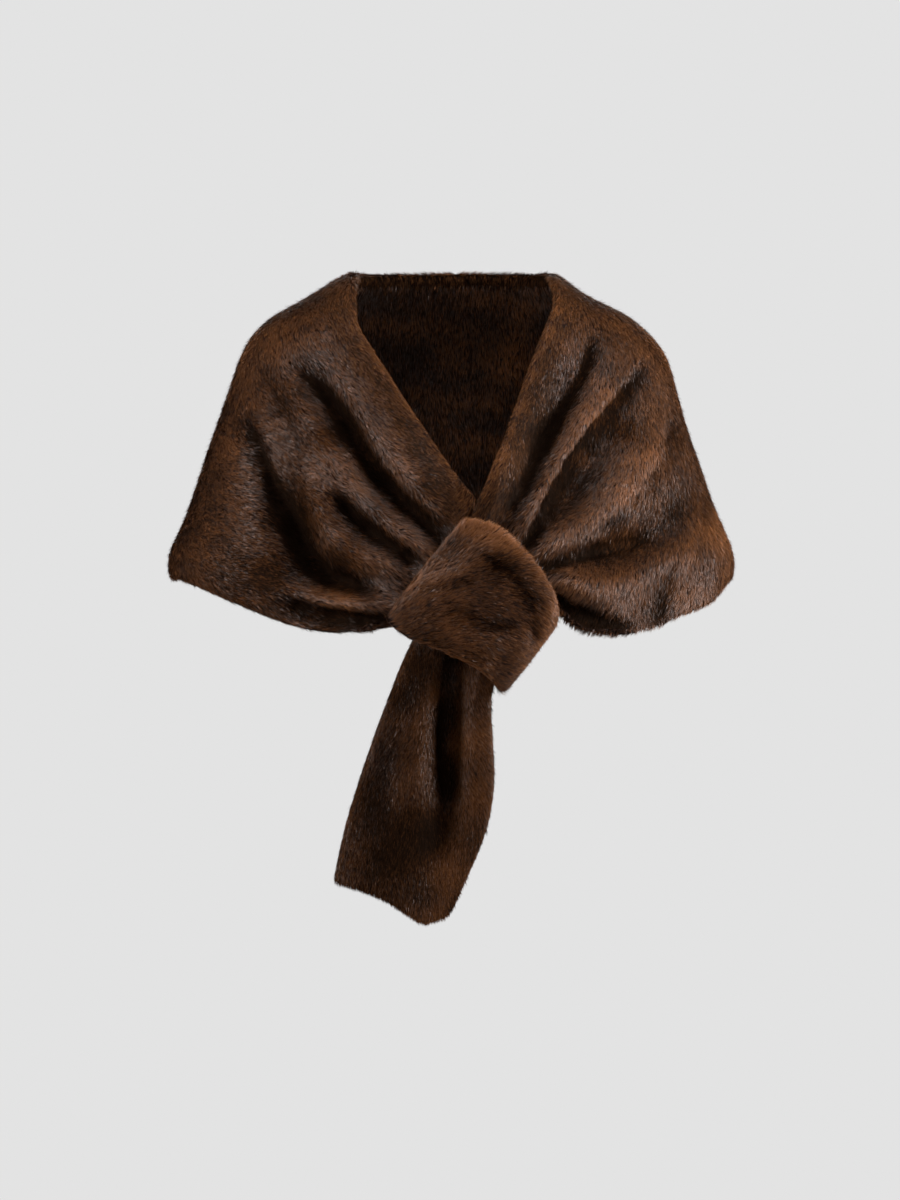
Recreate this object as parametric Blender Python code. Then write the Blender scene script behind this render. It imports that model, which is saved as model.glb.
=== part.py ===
"""A fur cape, worn. It closes at the front by a long tail that is pulled through a wide loop.

The solids are the garment as it hangs on a wearer's shoulders: hollow, open at the neck and hem.
+Z is up, the wearer faces -Y, and the wearer's right side is at -X. The origin is the middle of the
shoulder line, where the shoulders carry the cape. Everything is in metres, to the tips of the fur.
"""

import math
from collections import namedtuple

import bmesh
import bpy
import numpy as np

# Driving dimensions
FUR_WALL = 0.012  # pelt with its fur on both faces, tip to tip
BACK_PELT = 0.0082  # the back's outer pelt; with its lining it is as thick as FUR_WALL
LINING = 0.0035  # fur lining seen through the neck
SEAM_GAP = 0.0003
SQUARENESS = 2.3  # 2 is an ellipse; more fills the corners of a level section
NECK_EDGE = 0.0185  # height of the neck edge, before its round edge
HEM_AT_SIDE = -0.284
HEM_DROP_AT_BACK = 0.010

# The figure that the cape hangs on, at the fur's outer face. A row for each level section.
Level = namedtuple("Level", "height right_half left_half front back")
FIGURE = (
    Level(0.036, 0.062, 0.062, 0.034, 0.064),
    Level(0.019, 0.103, 0.099, 0.050, 0.076),
    Level(0.008, 0.127, 0.115, 0.060, 0.083),
    Level(-0.009, 0.154, 0.142, 0.073, 0.091),
    Level(-0.021, 0.178, 0.169, 0.082, 0.098),
    Level(-0.034, 0.196, 0.187, 0.089, 0.104),
    Level(-0.056, 0.212, 0.208, 0.099, 0.113),
    Level(-0.100, 0.228, 0.2235, 0.115, 0.126),
    Level(-0.150, 0.2455, 0.2385, 0.132, 0.133),
    Level(-0.205, 0.2635, 0.2580, 0.146, 0.137),
    Level(-0.237, 0.2750, 0.2695, 0.152, 0.138),
    Level(-0.261, 0.2865, 0.2795, 0.155, 0.140),
    Level(-0.275, 0.2890, 0.2810, 0.156, 0.141),
    Level(-0.290, 0.2860, 0.2790, 0.157, 0.141),
    Level(-0.350, 0.2860, 0.2790, 0.157, 0.141),
)

# The edges of the two fronts from the side seam to the loop, as seen from the front
Edge = namedtuple("Edge", "across height")
RIGHT_NECK = (
    Edge(-0.103, -0.019),
    Edge(-0.100, -0.036),
    Edge(-0.0882, -0.057),
    Edge(-0.070, -0.0855),
    Edge(-0.032, -0.1445),
    Edge(-0.0015, -0.191),
    Edge(0.0125, -0.2145),
    Edge(0.0045, -0.2353),
)
RIGHT_HEM = (
    Edge(-0.2545, -0.2955),
    Edge(-0.219, -0.3100),
    Edge(-0.1754, -0.3265),
    Edge(-0.1255, -0.3395),
    Edge(-0.086, -0.3360),
    Edge(-0.049, -0.327),
)
LEFT_NECK = (
    Edge(0.104, -0.010),
    Edge(0.094, -0.036),
    Edge(0.074, -0.086),
    Edge(0.053, -0.147),
    Edge(0.0258, -0.2145),
    Edge(0.0085, -0.2668),
)
LEFT_HEM = (
    Edge(0.2735, -0.2925),
    Edge(0.2635, -0.3045),
    Edge(0.2450, -0.3145),
    Edge(0.2260, -0.3210),
    Edge(0.189, -0.335),
    Edge(0.141, -0.3390),
    Edge(0.1180, -0.3340),
    Edge(0.1080, -0.3250),
    Edge(0.0990, -0.3130),
    Edge(0.0800, -0.3216),
)

# Creases of the fronts, as lines seen from the front, across and height, from the shoulder or arm into
# the loop. The spread is to either side of the line. A negative depth is a swell between two creases.
Crease = namedtuple("Crease", "depth spread line")
RIGHT_CREASES = (
    Crease(
        0.017,
        0.013,
        ((-0.187, -0.060), (-0.137, -0.094), (-0.105, -0.150),
         (-0.070, -0.200), (-0.033, -0.238), (0.000, -0.263)),
    ),
    Crease(0.008, 0.009, ((-0.083, -0.172), (-0.053, -0.210), (-0.023, -0.236), (0.007, -0.250))),
    Crease(
        0.027,
        0.020,
        ((-0.209, -0.118), (-0.185, -0.174), (-0.167, -0.225), (-0.143, -0.270),
         (-0.105, -0.288), (-0.067, -0.296), (-0.037, -0.310)),
    ),
    Crease(
        0.015,
        0.011,
        ((-0.133, -0.204), (-0.105, -0.229), (-0.075, -0.253),
         (-0.047, -0.273), (-0.019, -0.290)),
    ),
    Crease(0.010, 0.010, ((-0.165, -0.322), (-0.125, -0.328), (-0.070, -0.327), (-0.045, -0.332))),
    Crease(
        -0.008,
        0.014,
        ((-0.193, -0.072), (-0.140, -0.138), (-0.100, -0.180),
         (-0.060, -0.230), (-0.025, -0.262)),
    ),
    Crease(-0.006, 0.013, ((-0.130, -0.070), (-0.080, -0.140), (-0.045, -0.195), (-0.015, -0.240))),
    Crease(
        -0.007,
        0.013,
        ((-0.170, -0.172), (-0.143, -0.222), (-0.115, -0.258),
         (-0.070, -0.280), (-0.035, -0.298)),
    ),
    Crease(
        -0.008,
        0.01,
        ((-0.255, -0.288), (-0.195, -0.300), (-0.145, -0.307),
         (-0.090, -0.310), (-0.043, -0.322)),
    ),
)
LEFT_CREASES = (
    Crease(
        0.016,
        0.012,
        ((0.153, -0.028), (0.125, -0.066), (0.105, -0.106), (0.080, -0.158),
         (0.058, -0.210), (0.042, -0.255), (0.032, -0.282)),
    ),
    Crease(
        0.017,
        0.012,
        ((0.193, -0.094), (0.167, -0.130), (0.135, -0.174), (0.105, -0.212),
         (0.075, -0.245), (0.051, -0.285), (0.045, -0.296)),
    ),
    Crease(
        0.017,
        0.018,
        ((0.231, -0.140), (0.237, -0.190), (0.225, -0.225), (0.185, -0.250),
         (0.145, -0.262), (0.105, -0.271), (0.075, -0.300), (0.063, -0.309)),
    ),
    Crease(
        0.019,
        0.012,
        ((0.175, -0.332), (0.145, -0.329), (0.120, -0.321),
         (0.100, -0.312), (0.077, -0.319)),
    ),
    Crease(0.004, 0.009, ((0.213, -0.270), (0.209, -0.310))),
    Crease(
        -0.007,
        0.01,
        ((0.190, -0.055), (0.150, -0.106), (0.117, -0.158),
         (0.090, -0.208), (0.065, -0.255), (0.042, -0.290)),
    ),
    Crease(
        -0.006,
        0.011,
        ((0.123, -0.045), (0.101, -0.100), (0.080, -0.135),
         (0.055, -0.190), (0.040, -0.230), (0.025, -0.275)),
    ),
    Crease(
        -0.009,
        0.017,
        ((0.217, -0.122), (0.190, -0.170), (0.157, -0.222),
         (0.120, -0.252), (0.090, -0.270), (0.057, -0.302)),
    ),
    Crease(
        -0.009,
        0.016,
        ((0.245, -0.250), (0.195, -0.278), (0.145, -0.290),
         (0.110, -0.292), (0.085, -0.302), (0.069, -0.314)),
    ),
)

# Creases of the back: places along go from 0 at the wearer's right side seam to 1 at the left one.
Dent = namedtuple("Dent", "along across long wide slant depth")
BACK_DENTS = (
    Dent(0.50, 0.15, 0.30, 0.045, 0.00, 0.0045),
    Dent(0.34, 0.33, 0.20, 0.055, 0.35, 0.0060),
    Dent(0.68, 0.37, 0.22, 0.055, -0.30, 0.0065),
    Dent(0.46, 0.55, 0.24, 0.060, 0.18, 0.0050),
    Dent(0.24, 0.62, 0.14, 0.060, 0.55, 0.0060),
    Dent(0.78, 0.66, 0.14, 0.060, -0.50, 0.0055),
)
Flute = namedtuple("Flute", "along wide depth")
BACK_FLUTES = (
    Flute(0.17, 0.045, 0.010),
    Flute(0.33, 0.055, 0.013),
    Flute(0.47, 0.040, 0.008),
    Flute(0.63, 0.055, 0.012),
    Flute(0.81, 0.045, 0.011),
)

# The loop, in its own two directions as seen from the front: b runs along the band, down to the wearer's
# left, and a runs across it, up to the wearer's left, the way the left front comes in.
LOOP_MIDDLE = np.array([0.0243, -0.3168])
LOOP_SLOPE = math.radians(-37.5)
KNOT_Y = -0.166  # middle of the gathered cloth inside the loop
LOOP_WALL = 0.012
LOOP_RIGHT_END = -0.0630  # b of the sewn end, before its round edge
LOOP_TURN = 0.0670  # b of the far side of the turn
LOOP_BACK_END = -0.0520
LOOP_CROWN = 0.008  # how much the fur swells in the middle of the front face
GATHERS = 3
GATHER = 0.010  # the most that a crease moves the cloth inside the loop, either way
Reach = namedtuple("Reach", "along top bottom back_top")
LOOP_REACH = (
    Reach(-0.063, 0.0560, -0.0640, 0.0560),
    Reach(-0.040, 0.0670, -0.0645, 0.0600),
    Reach(-0.012, 0.0670, -0.0560, 0.0560),
    Reach(0.022, 0.0625, -0.0480, 0.0480),
    Reach(0.050, 0.0520, -0.0465, 0.0320),
    Reach(0.067, 0.0440, -0.0500, 0.0220),
)

# Creases of the loop's front face, as lines in b and a
LOOP_CREASES = (
    Crease(-0.0045, 0.014, ((-0.070, -0.050), (-0.046, -0.010), (-0.027, 0.036), (-0.020, 0.060))),
    Crease(0.0035, 0.012, ((-0.020, -0.006), (0.004, -0.003), (0.024, 0.006), (0.043, 0.014))),
    Crease(0.0035, 0.012, ((0.018, 0.044), (0.036, 0.025), (0.055, 0.006), (0.064, -0.008))),
    Crease(0.0025, 0.012, ((-0.050, -0.030), (-0.020, -0.028), (0.010, -0.026), (0.040, -0.030))),
)

# The tail, from its seam inside the loop down to its tip: its two sides as seen from the front
TailRow = namedtuple(
    "TailRow", "left_across left_height right_across right_height y trough trough_at trough_spread"
)
TAIL = (
    TailRow(0.0085, -0.2668, 0.0800, -0.3216, -0.1660, 0.000, 0.50, 0.16),
    TailRow(-0.0145, -0.3080, 0.0505, -0.3580, -0.1660, 0.014, 0.52, 0.16),
    TailRow(-0.0415, -0.3560, 0.0335, -0.3965, -0.1660, 0.020, 0.55, 0.17),
    TailRow(-0.0595, -0.4000, 0.0330, -0.4380, -0.1650, 0.027, 0.58, 0.15),
    TailRow(-0.0815, -0.4600, 0.0350, -0.4830, -0.1640, 0.026, 0.63, 0.13),
    TailRow(-0.1010, -0.5200, 0.0300, -0.5250, -0.1640, 0.012, 0.68, 0.11),
    TailRow(-0.1105, -0.5580, 0.0185, -0.5650, -0.1650, 0.003, 0.70, 0.11),
    TailRow(-0.1160, -0.5850, -0.0025, -0.6160, -0.1660, 0.000, 0.70, 0.11),
)
TAIL_TIP_SAG = 0.0185  # how far the bottom edge swells below a straight line, past its middle

# How finely the surfaces are cut
ACROSS_FRONT = 27
STATIONS_FRONT = 26
STATIONS_BACK = 25
ACROSS_LINING = 15
LINING_INSET = 0.03  # share of the back's height between its edges and the lining's
ROUND_STEPS = (math.radians(45), math.radians(90), math.radians(135))
END_STEPS = (math.radians(40), math.radians(75))


def clear_scene():
    for thing in list(bpy.data.objects):
        bpy.data.objects.remove(thing)


def signed_power(value, power):
    return np.sign(value) * np.abs(value) ** power


def smooth_step(low, high, x):
    t = np.clip((x - low) / (high - low), 0.0, 1.0)
    return t * t * (3 - 2 * t)


def bell(x):
    return np.exp(-x * x)


def eased(xs, ys, x):
    """The smooth curve through the points (xs, ys), with xs rising, read at x."""
    xs, ys = np.asarray(xs, float), np.asarray(ys, float)
    slopes = np.gradient(ys, xs)
    i = int(np.clip(np.searchsorted(xs, x) - 1, 0, len(xs) - 2))
    span = xs[i + 1] - xs[i]
    t = float(np.clip((x - xs[i]) / span, 0.0, 1.0))
    start = (1 + 2 * t) * (1 - t) ** 2 * ys[i] + t * (1 - t) ** 2 * span * slopes[i]
    end = t * t * (3 - 2 * t) * ys[i + 1] + t * t * (t - 1) * span * slopes[i + 1]
    return start + end


LEVELS_UP = tuple(reversed(FIGURE))
HEIGHTS_UP = [level.height for level in LEVELS_UP]


def figure_size(column, height):
    return eased(HEIGHTS_UP, [getattr(level, column) for level in LEVELS_UP], height)


def half_width(side, height):
    return figure_size("left_half" if side > 0 else "right_half", height)


def on_figure(side, angle, height):
    """The figure's outer point. side is -1 on the wearer's right. angle is 0 at the front, 180 degrees behind."""
    power = 2 / SQUARENESS
    across = side * half_width(side, height) * signed_power(math.sin(angle), power)
    facing = math.cos(angle)
    depth = -figure_size("front", height) if facing > 0 else figure_size("back", height)
    return np.array([across, depth * abs(facing) ** power, height])


def outward(point):
    """The figure's outward direction at a point of it, from how fast its section sizes change."""

    def fullness(place):
        side = 1 if place[0] > 0 else -1
        depth = figure_size("front" if place[1] < 0 else "back", place[2])
        wide = abs(place[0]) / half_width(side, place[2])
        return wide**SQUARENESS + (abs(place[1]) / depth) ** SQUARENESS

    step = 0.0005
    slope = np.array([fullness(point + move) - fullness(point - move) for move in np.eye(3) * step])
    return slope / np.linalg.norm(slope)


def spaced_evenly(points, values, fractions):
    """Reads values, given at points along a line, at even fractions of the line's length."""
    lengths = np.linalg.norm(np.diff(points, axis=0), axis=1)
    run = np.concatenate([[0.0], np.cumsum(lengths)])
    return np.interp(np.asarray(fractions) * run[-1], run, values)


def rib_heights(side, angle, top, bottom, fractions):
    """Heights at even steps along the cloth, down the figure at one angle."""
    dense = np.linspace(top, bottom, 60)
    points = [on_figure(side, angle, height) for height in dense]
    return spaced_evenly(points, dense, fractions)


def angle_on_figure(side, edge):
    """The angle at which the figure shows this far across, at this height."""
    ratio = side * edge.across / half_width(side, edge.height)
    return math.asin(float(np.clip(signed_power(ratio, SQUARENESS / 2), -1, 1)))


def edge_line(side, first_height, edges, fractions):
    """Angles and heights along an edge of a front, at even steps from the side seam to the loop."""
    edges = (Edge(side * half_width(side, first_height), first_height), *edges)
    knots = np.concatenate([[0.0], np.cumsum(np.linalg.norm(np.diff(edges, axis=0), axis=1))])
    line = []
    for t in np.linspace(0, knots[-1], 500):
        line.append(Edge(*(eased(knots, column, t) for column in zip(*edges))))
    angles = [math.pi / 2] + [angle_on_figure(side, edge) for edge in line[1:]]
    heights = [edge.height for edge in line]
    points = [on_figure(side, angle, height) for angle, height in zip(angles, heights)]
    return (
        spaced_evenly(points, angles, fractions),
        spaced_evenly(points, heights, fractions),
    )


def crease_line(crease):
    """Many points along a crease, each with how far along the crease it is."""
    knots = np.linspace(0, 1, len(crease.line))
    steps = np.linspace(0, 1, 240)
    return steps, np.array([[eased(knots, column, t) for column in zip(*crease.line)] for t in steps])


def crease_depth(lines, point):
    """How far the creases push the cloth in at a point, less how far the swells push it out."""
    depth = 0.0
    for crease, (steps, line) in lines:
        away = np.linalg.norm(line - point[[0, 2]], axis=1)
        nearest = int(np.argmin(away))
        grown = smooth_step(0, 0.4, steps[nearest])
        depth += crease.depth * grown * bell(away[nearest] / crease.spread)
    return depth


def front_sections(side, neck_edges, hem_edges, creases, knot_begins, knot_ends, gathers=0):
    """Outer and inner lines of one front, a section for each station from the side seam to the loop.

    gathers is the number of gathers across its sewn end, which hold it against both layers of the loop.
    """
    alongs = np.linspace(0, 1, STATIONS_FRONT)
    acrosses = np.linspace(0, 1, ACROSS_FRONT)
    neck = np.transpose(edge_line(side, NECK_EDGE, neck_edges, alongs))
    hem = np.transpose(edge_line(side, HEM_AT_SIDE, hem_edges, alongs))
    rib = rib_heights(side, math.pi / 2, NECK_EDGE, HEM_AT_SIDE, acrosses)
    lines = [(crease, crease_line(crease)) for crease in creases]
    sections = []
    for i, along in enumerate(alongs):
        outer_line, inner_line = [], []
        for j, across in enumerate(acrosses):
            straight = (1 - across) * neck[i] + across * hem[i]
            at_side = (1 - across) * neck[0] + across * hem[0]
            bend = np.array([math.pi / 2, rib[j]]) - at_side
            angle, height = straight + (1 - along) ** 1.5 * bend
            outer = on_figure(side, angle, height)
            normal = outward(outer)
            inside_loop = smooth_step(knot_begins, knot_ends, along)
            outer[1] += inside_loop * (KNOT_Y - FUR_WALL / 2 - outer[1])
            normal = normal + inside_loop * (np.array([0.0, -1.0, 0.0]) - normal)
            normal /= np.linalg.norm(normal)
            depth = crease_depth(lines, outer) * smooth_step(0, 0.12, along)
            held = GATHER * math.tanh(depth / GATHER)
            depth += inside_loop * (held - depth)
            if gathers:
                gathered = (GATHER - SEAM_GAP) * math.cos(2 * math.pi * gathers * across)
                depth += smooth_step(0.93, 1, along) * (gathered - depth)
            outer = outer - normal * depth
            outer_line.append(outer)
            inner_line.append(outer - normal * FUR_WALL)
        sections.append((np.array(outer_line), np.array(inner_line)))
    for line in sections[0]:
        line[:, 1] -= SEAM_GAP / 2
    return sections


def back_depth(along, across):
    """How far the back's creases and the flutes of its hem push it in."""
    depth = 0.0
    for dent in BACK_DENTS:
        line = dent.across + dent.slant * (along - dent.along)
        depth += dent.depth * bell((along - dent.along) / dent.long * 1.6) * bell((across - line) / dent.wide)
    for flute in BACK_FLUTES:
        depth += flute.depth * across**2.5 * bell((along - flute.along) / flute.wide)
    swell = 0.004 * across**2.5 * math.sin(math.pi * along)
    return (depth - swell) * smooth_step(0, 0.08, along) * smooth_step(0, 0.08, 1 - along)


def back_sections(acrosses, offset, wall, side_gap):
    """Outer and inner lines of a layer of the back that starts offset metres inside the fur's outer face."""
    ring_height = -0.12
    turns = np.linspace(math.pi / 2, math.pi * 3 / 2, 200)
    ring = [on_figure(-1 if t < math.pi else 1, min(t, 2 * math.pi - t), ring_height) for t in turns]
    turns = spaced_evenly(ring, turns, np.linspace(0, 1, STATIONS_BACK))
    sections = []
    for along, turn in zip(np.linspace(0, 1, STATIONS_BACK), turns):
        side, angle = (-1, turn) if turn < math.pi else (1, 2 * math.pi - turn)
        behind = math.sin(math.pi * along) ** 2
        bottom = HEM_AT_SIDE - HEM_DROP_AT_BACK * behind
        heights = rib_heights(side, angle, NECK_EDGE, bottom, acrosses)
        outer_line, inner_line = [], []
        for across, height in zip(acrosses, heights):
            point = on_figure(side, angle, height)
            normal = outward(point)
            outer = point - normal * (back_depth(along, across) + offset)
            outer_line.append(outer)
            inner_line.append(outer - normal * wall)
        sections.append((np.array(outer_line), np.array(inner_line)))
    for outer_line, inner_line in (sections[0], sections[-1]):
        outer_line[:, 1] += side_gap
        inner_line[:, 1] += side_gap
    return sections


def loop_place(b, a, y):
    """A point given in the loop's own directions."""
    along = np.array([math.cos(LOOP_SLOPE), math.sin(LOOP_SLOPE)])
    across = np.array([-math.sin(LOOP_SLOPE), math.cos(LOOP_SLOPE)])
    x, z = LOOP_MIDDLE + b * along + a * across
    return np.array([x, y, z])


def loop_path(half_room):
    """Middle line of the band as (b, y, direction of the outer face): front layer, turn, back layer."""
    reach = half_room + LOOP_WALL / 2
    turn_middle = LOOP_TURN - reach
    path = []
    for b in np.linspace(LOOP_RIGHT_END, turn_middle, 13):
        path.append((b, KNOT_Y - reach, math.pi))
    for turn in np.linspace(0, math.pi, 10)[1:-1]:
        b = turn_middle + reach * math.sin(turn)
        path.append((b, KNOT_Y - reach * math.cos(turn), math.pi - turn))
    for b in np.linspace(turn_middle, LOOP_BACK_END, 9):
        path.append((b, KNOT_Y + reach, 0.0))
    return path


def loop_sections():
    """Sections of the band across its width, with its two sewn ends rounded off."""
    reach_at = [row.along for row in LOOP_REACH]
    shares = np.linspace(0, 1, 10)
    lines = [(crease, crease_line(crease)) for crease in LOOP_CREASES]
    path = loop_path(FUR_WALL / 2 + GATHER + 2 * SEAM_GAP)
    sections = []
    for b, y, facing in path:
        top = eased(reach_at, [row.top for row in LOOP_REACH], b)
        bottom = eased(reach_at, [row.bottom for row in LOOP_REACH], b)
        back_top = eased(reach_at, [row.back_top for row in LOOP_REACH], b)
        out = np.array([math.sin(facing), math.cos(facing)])
        top += (back_top - top) * (1 + out[1]) / 2
        outer_line, inner_line = [], []
        for share in shares:
            a = bottom + share * (top - bottom)
            crown = LOOP_CROWN * max(0.0, -out[1]) * math.sin(math.pi * share) ** 0.8
            crown *= smooth_step(LOOP_RIGHT_END - 0.02, LOOP_RIGHT_END + 0.04, b)
            crown -= crease_depth(lines, np.array([b, 0.0, a])) * max(0.0, -out[1])
            outer = np.array([b, y]) + out * (LOOP_WALL / 2 + crown)
            inner = np.array([b, y]) - out * LOOP_WALL / 2
            outer_line.append(loop_place(outer[0], a, outer[1]))
            inner_line.append(loop_place(inner[0], a, inner[1]))
        sections.append((np.array(outer_line), np.array(inner_line)))
    return rounded_start(rounded_end(sections))


def tail_sections(seam):
    """Sections of the tail from its seam, the left front's last outer line, to its rounded tip."""
    rows = np.arange(len(TAIL), dtype=float)
    seam = seam - (loop_place(0, 1, 0) - loop_place(0, 0, 0)) * SEAM_GAP
    sections = []
    shift = 0.0
    for row in np.linspace(0, rows[-1], 16):
        read = {name: eased(rows, [getattr(r, name) for r in TAIL], row) for name in TailRow._fields}
        fallen = row / rows[-1]
        line = []
        for share in np.linspace(0, 1, ACROSS_FRONT):
            x = read["left_across"] + share * (read["right_across"] - read["left_across"])
            z = read["left_height"] + share * (read["right_height"] - read["left_height"])
            z -= TAIL_TIP_SAG * smooth_step(0.7, 1.0, fallen) * math.sin(math.pi * share**3)
            trough = read["trough"] * bell((share - read["trough_at"]) / read["trough_spread"])
            swell = 0.30 * read["trough"] * math.sin(math.pi * share)
            swell += 0.006 * smooth_step(0.5, 0.9, fallen) * math.sin(math.pi * share * 1.5 + 0.4)
            fold = trough - swell
            fold += (1 - smooth_step(2.2, 3.0, row)) * (GATHER * math.tanh(fold / GATHER) - fold)
            line.append([x, read["y"] + fold, z])
        front = np.array(line) - [0, FUR_WALL / 2, 0]
        if row == 0:
            shift = seam - front
        front += shift * (1 - smooth_step(0, 1.5, row))
        if row < 2.5:
            flat = KNOT_Y - FUR_WALL / 2
            front[:, 1] = np.clip(front[:, 1], flat - GATHER, flat + GATHER)
        sections.append((front, front + [0, FUR_WALL, 0]))
    return rounded_end(sections)


def rounded_end(sections):
    """Adds sections past the last one that close the wall with a round edge."""
    (outer, inner), (outer_before, inner_before) = sections[-1], sections[-2]
    middle = (outer + inner) / 2
    onward = middle - (outer_before + inner_before) / 2
    onward /= np.linalg.norm(onward, axis=1)[:, None]
    half = (outer - inner) / 2
    thick = np.linalg.norm(half, axis=1)[:, None]
    added = []
    for step in END_STEPS:
        centre = middle + onward * thick * math.sin(step)
        added.append((centre + half * math.cos(step), centre - half * math.cos(step)))
    return sections + added


def rounded_start(sections):
    return rounded_end(sections[::-1])[::-1]


def wall_ring(outer, inner):
    """One closed ring round a wall: its outer line, a round edge, its inner line back, a round edge."""

    def edge(outer_point, inner_point, next_middle):
        middle = (outer_point + inner_point) / 2
        half = (outer_point - inner_point) / 2
        beyond = middle - next_middle
        beyond *= np.linalg.norm(half) / np.linalg.norm(beyond)
        return [middle + half * math.cos(step) + beyond * math.sin(step) for step in ROUND_STEPS]

    middles = (outer + inner) / 2
    far_edge = edge(outer[-1], inner[-1], middles[-2])
    near_edge = edge(outer[0], inner[0], middles[1])
    return [*outer, *far_edge, *inner[::-1], *near_edge[::-1]]


def loft(name, sections, colour):
    """Makes one closed solid through the sections of a wall."""
    bm = bmesh.new()
    rings = [[bm.verts.new(point) for point in wall_ring(*section)] for section in sections]
    count = len(rings[0])
    across = len(sections[0][0])
    rounds = len(ROUND_STEPS)
    for ring, following in zip(rings, rings[1:]):
        for i in range(count):
            j = (i + 1) % count
            # Both faces of the wall are cut along the same diagonals, so that layers stay parallel
            if i < across:
                corners = (ring[i], ring[j], following[j]), (ring[i], following[j], following[i])
            else:
                corners = (ring[i], ring[j], following[i]), (ring[j], following[j], following[i])
            for corner in corners:
                bm.faces.new(corner)
    for ring in (rings[0], rings[-1]):
        inner = [ring[2 * across + rounds - 1 - i] for i in range(across)]
        for i in range(across - 1):
            bm.faces.new((ring[i], ring[i + 1], inner[i + 1], inner[i]))
        bm.faces.new((*ring[across - 1 : across + rounds + 1],))
        bm.faces.new((*ring[2 * across + rounds - 1 :], ring[0]))
    bmesh.ops.recalc_face_normals(bm, faces=bm.faces)
    mesh = bpy.data.meshes.new(name)
    bm.to_mesh(mesh)
    bm.free()
    mesh.shade_smooth()
    mesh.set_sharp_from_angle(angle=math.radians(60))
    mesh.materials.append(fur(name, colour))
    piece = bpy.data.objects.new(name, mesh)
    bpy.context.scene.collection.objects.link(piece)
    return piece


def fur(name, colour):
    material = bpy.data.materials.new(name)
    material.use_nodes = True
    shader = material.node_tree.nodes["Principled BSDF"]
    shader.inputs["Base Color"].default_value = (*colour, 1)
    shader.inputs["Roughness"].default_value = 0.55
    shader.inputs["Metallic"].default_value = 0.0
    shader.inputs["Sheen Weight"].default_value = 0.4
    return material


def build():
    clear_scene()
    lined = np.linspace(LINING_INSET, 1 - LINING_INSET, ACROSS_LINING)
    brown = (0.040, 0.020, 0.012)
    dark = (0.016, 0.007, 0.005)
    left_front = front_sections(1, LEFT_NECK, LEFT_HEM, LEFT_CREASES, 0.52, 0.80)
    pieces = [
        loft(
            "right_front",
            front_sections(-1, RIGHT_NECK, RIGHT_HEM, RIGHT_CREASES, 0.62, 0.92, GATHERS),
            brown,
        ),
        loft("left_front", left_front, brown),
        loft("back", back_sections([0, *lined, 1], 0.0, BACK_PELT, SEAM_GAP / 2), brown),
        loft(
            "back_lining",
            back_sections(lined, BACK_PELT + SEAM_GAP, LINING, SEAM_GAP),
            dark,
        ),
        loft("loop", loop_sections(), brown),
        loft("tail", tail_sections(left_front[-1][0]), brown),
    ]
    shoulders = bpy.data.objects.new("shoulders", None)
    bpy.context.scene.collection.objects.link(shoulders)
    for piece in pieces:
        piece.parent = shoulders


build()
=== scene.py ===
# %% [markdown]
# # A worn fur cape, dressed
# The frame is the cape's own CAD model: the back with its lining, two fronts, the loop and the tail.
# Each soft solid reaches as far as the tips of the fur. Here each one gets a skin, which is the pelt's
# leather, and then its hair: more than nine hundred thousand fine tapered blades, laid along the nap.
# A bumped surface would be lighter, but fur is judged by its soft, broken edge, and only real blades
# have that.

import math

import bmesh
import bpy
import numpy as np
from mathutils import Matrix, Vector


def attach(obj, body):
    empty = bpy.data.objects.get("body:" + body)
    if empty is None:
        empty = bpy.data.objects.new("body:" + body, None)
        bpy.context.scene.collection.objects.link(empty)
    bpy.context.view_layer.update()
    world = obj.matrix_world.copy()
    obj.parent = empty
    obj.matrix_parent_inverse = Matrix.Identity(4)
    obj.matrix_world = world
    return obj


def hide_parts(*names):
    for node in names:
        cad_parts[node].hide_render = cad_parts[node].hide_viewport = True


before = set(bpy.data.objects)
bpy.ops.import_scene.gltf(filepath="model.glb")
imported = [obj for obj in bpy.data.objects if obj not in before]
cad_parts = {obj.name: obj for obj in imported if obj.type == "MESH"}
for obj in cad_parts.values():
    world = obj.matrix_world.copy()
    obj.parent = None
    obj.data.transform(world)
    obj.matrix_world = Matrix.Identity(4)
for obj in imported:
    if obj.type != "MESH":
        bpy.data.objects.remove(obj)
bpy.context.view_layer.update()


# %% [markdown]
# ## Camera
# The photograph is a flat product shot: a long lens, far away, level with the middle of the cape.
# One pixel of its 900 x 1200 frame is one millimetre at the shoulders, so the view is 1.2 m tall.
# A lens this long keeps the near loop and the far collar at almost the same scale.

# %% Camera
VIEW_HEIGHT = 1.2
CAMERA_DISTANCE = 14.0
VIEW_MIDDLE = Vector((-0.005, 0.0, -0.310))
SENSOR_WIDTH = 36.0
FARTHEST_SEEN = 60.0

scene = bpy.context.scene
camera_data = bpy.data.cameras.new("camera")
camera_data.sensor_fit = "AUTO"
camera_data.sensor_width = SENSOR_WIDTH
camera_data.lens = SENSOR_WIDTH / 2 / (VIEW_HEIGHT / 2 / CAMERA_DISTANCE)
camera_data.clip_end = FARTHEST_SEEN
camera = bpy.data.objects.new("camera", camera_data)
camera.location = VIEW_MIDDLE - Vector((0, CAMERA_DISTANCE, 0))
camera.rotation_euler = (math.pi / 2, 0, 0)
scene.collection.objects.link(camera)
scene.camera = camera
scene.view_settings.view_transform = "Standard"
print("lens in mm:", round(camera_data.lens))


# %% [markdown]
# ## Colours and nodes
# Colours are written as the sRGB hex values that an eye or a picker reads, and one function turns
# them to the linear numbers that Blender works in. One small function adds a node with its settings
# and its links, so that each material below reads as a short list.


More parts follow.
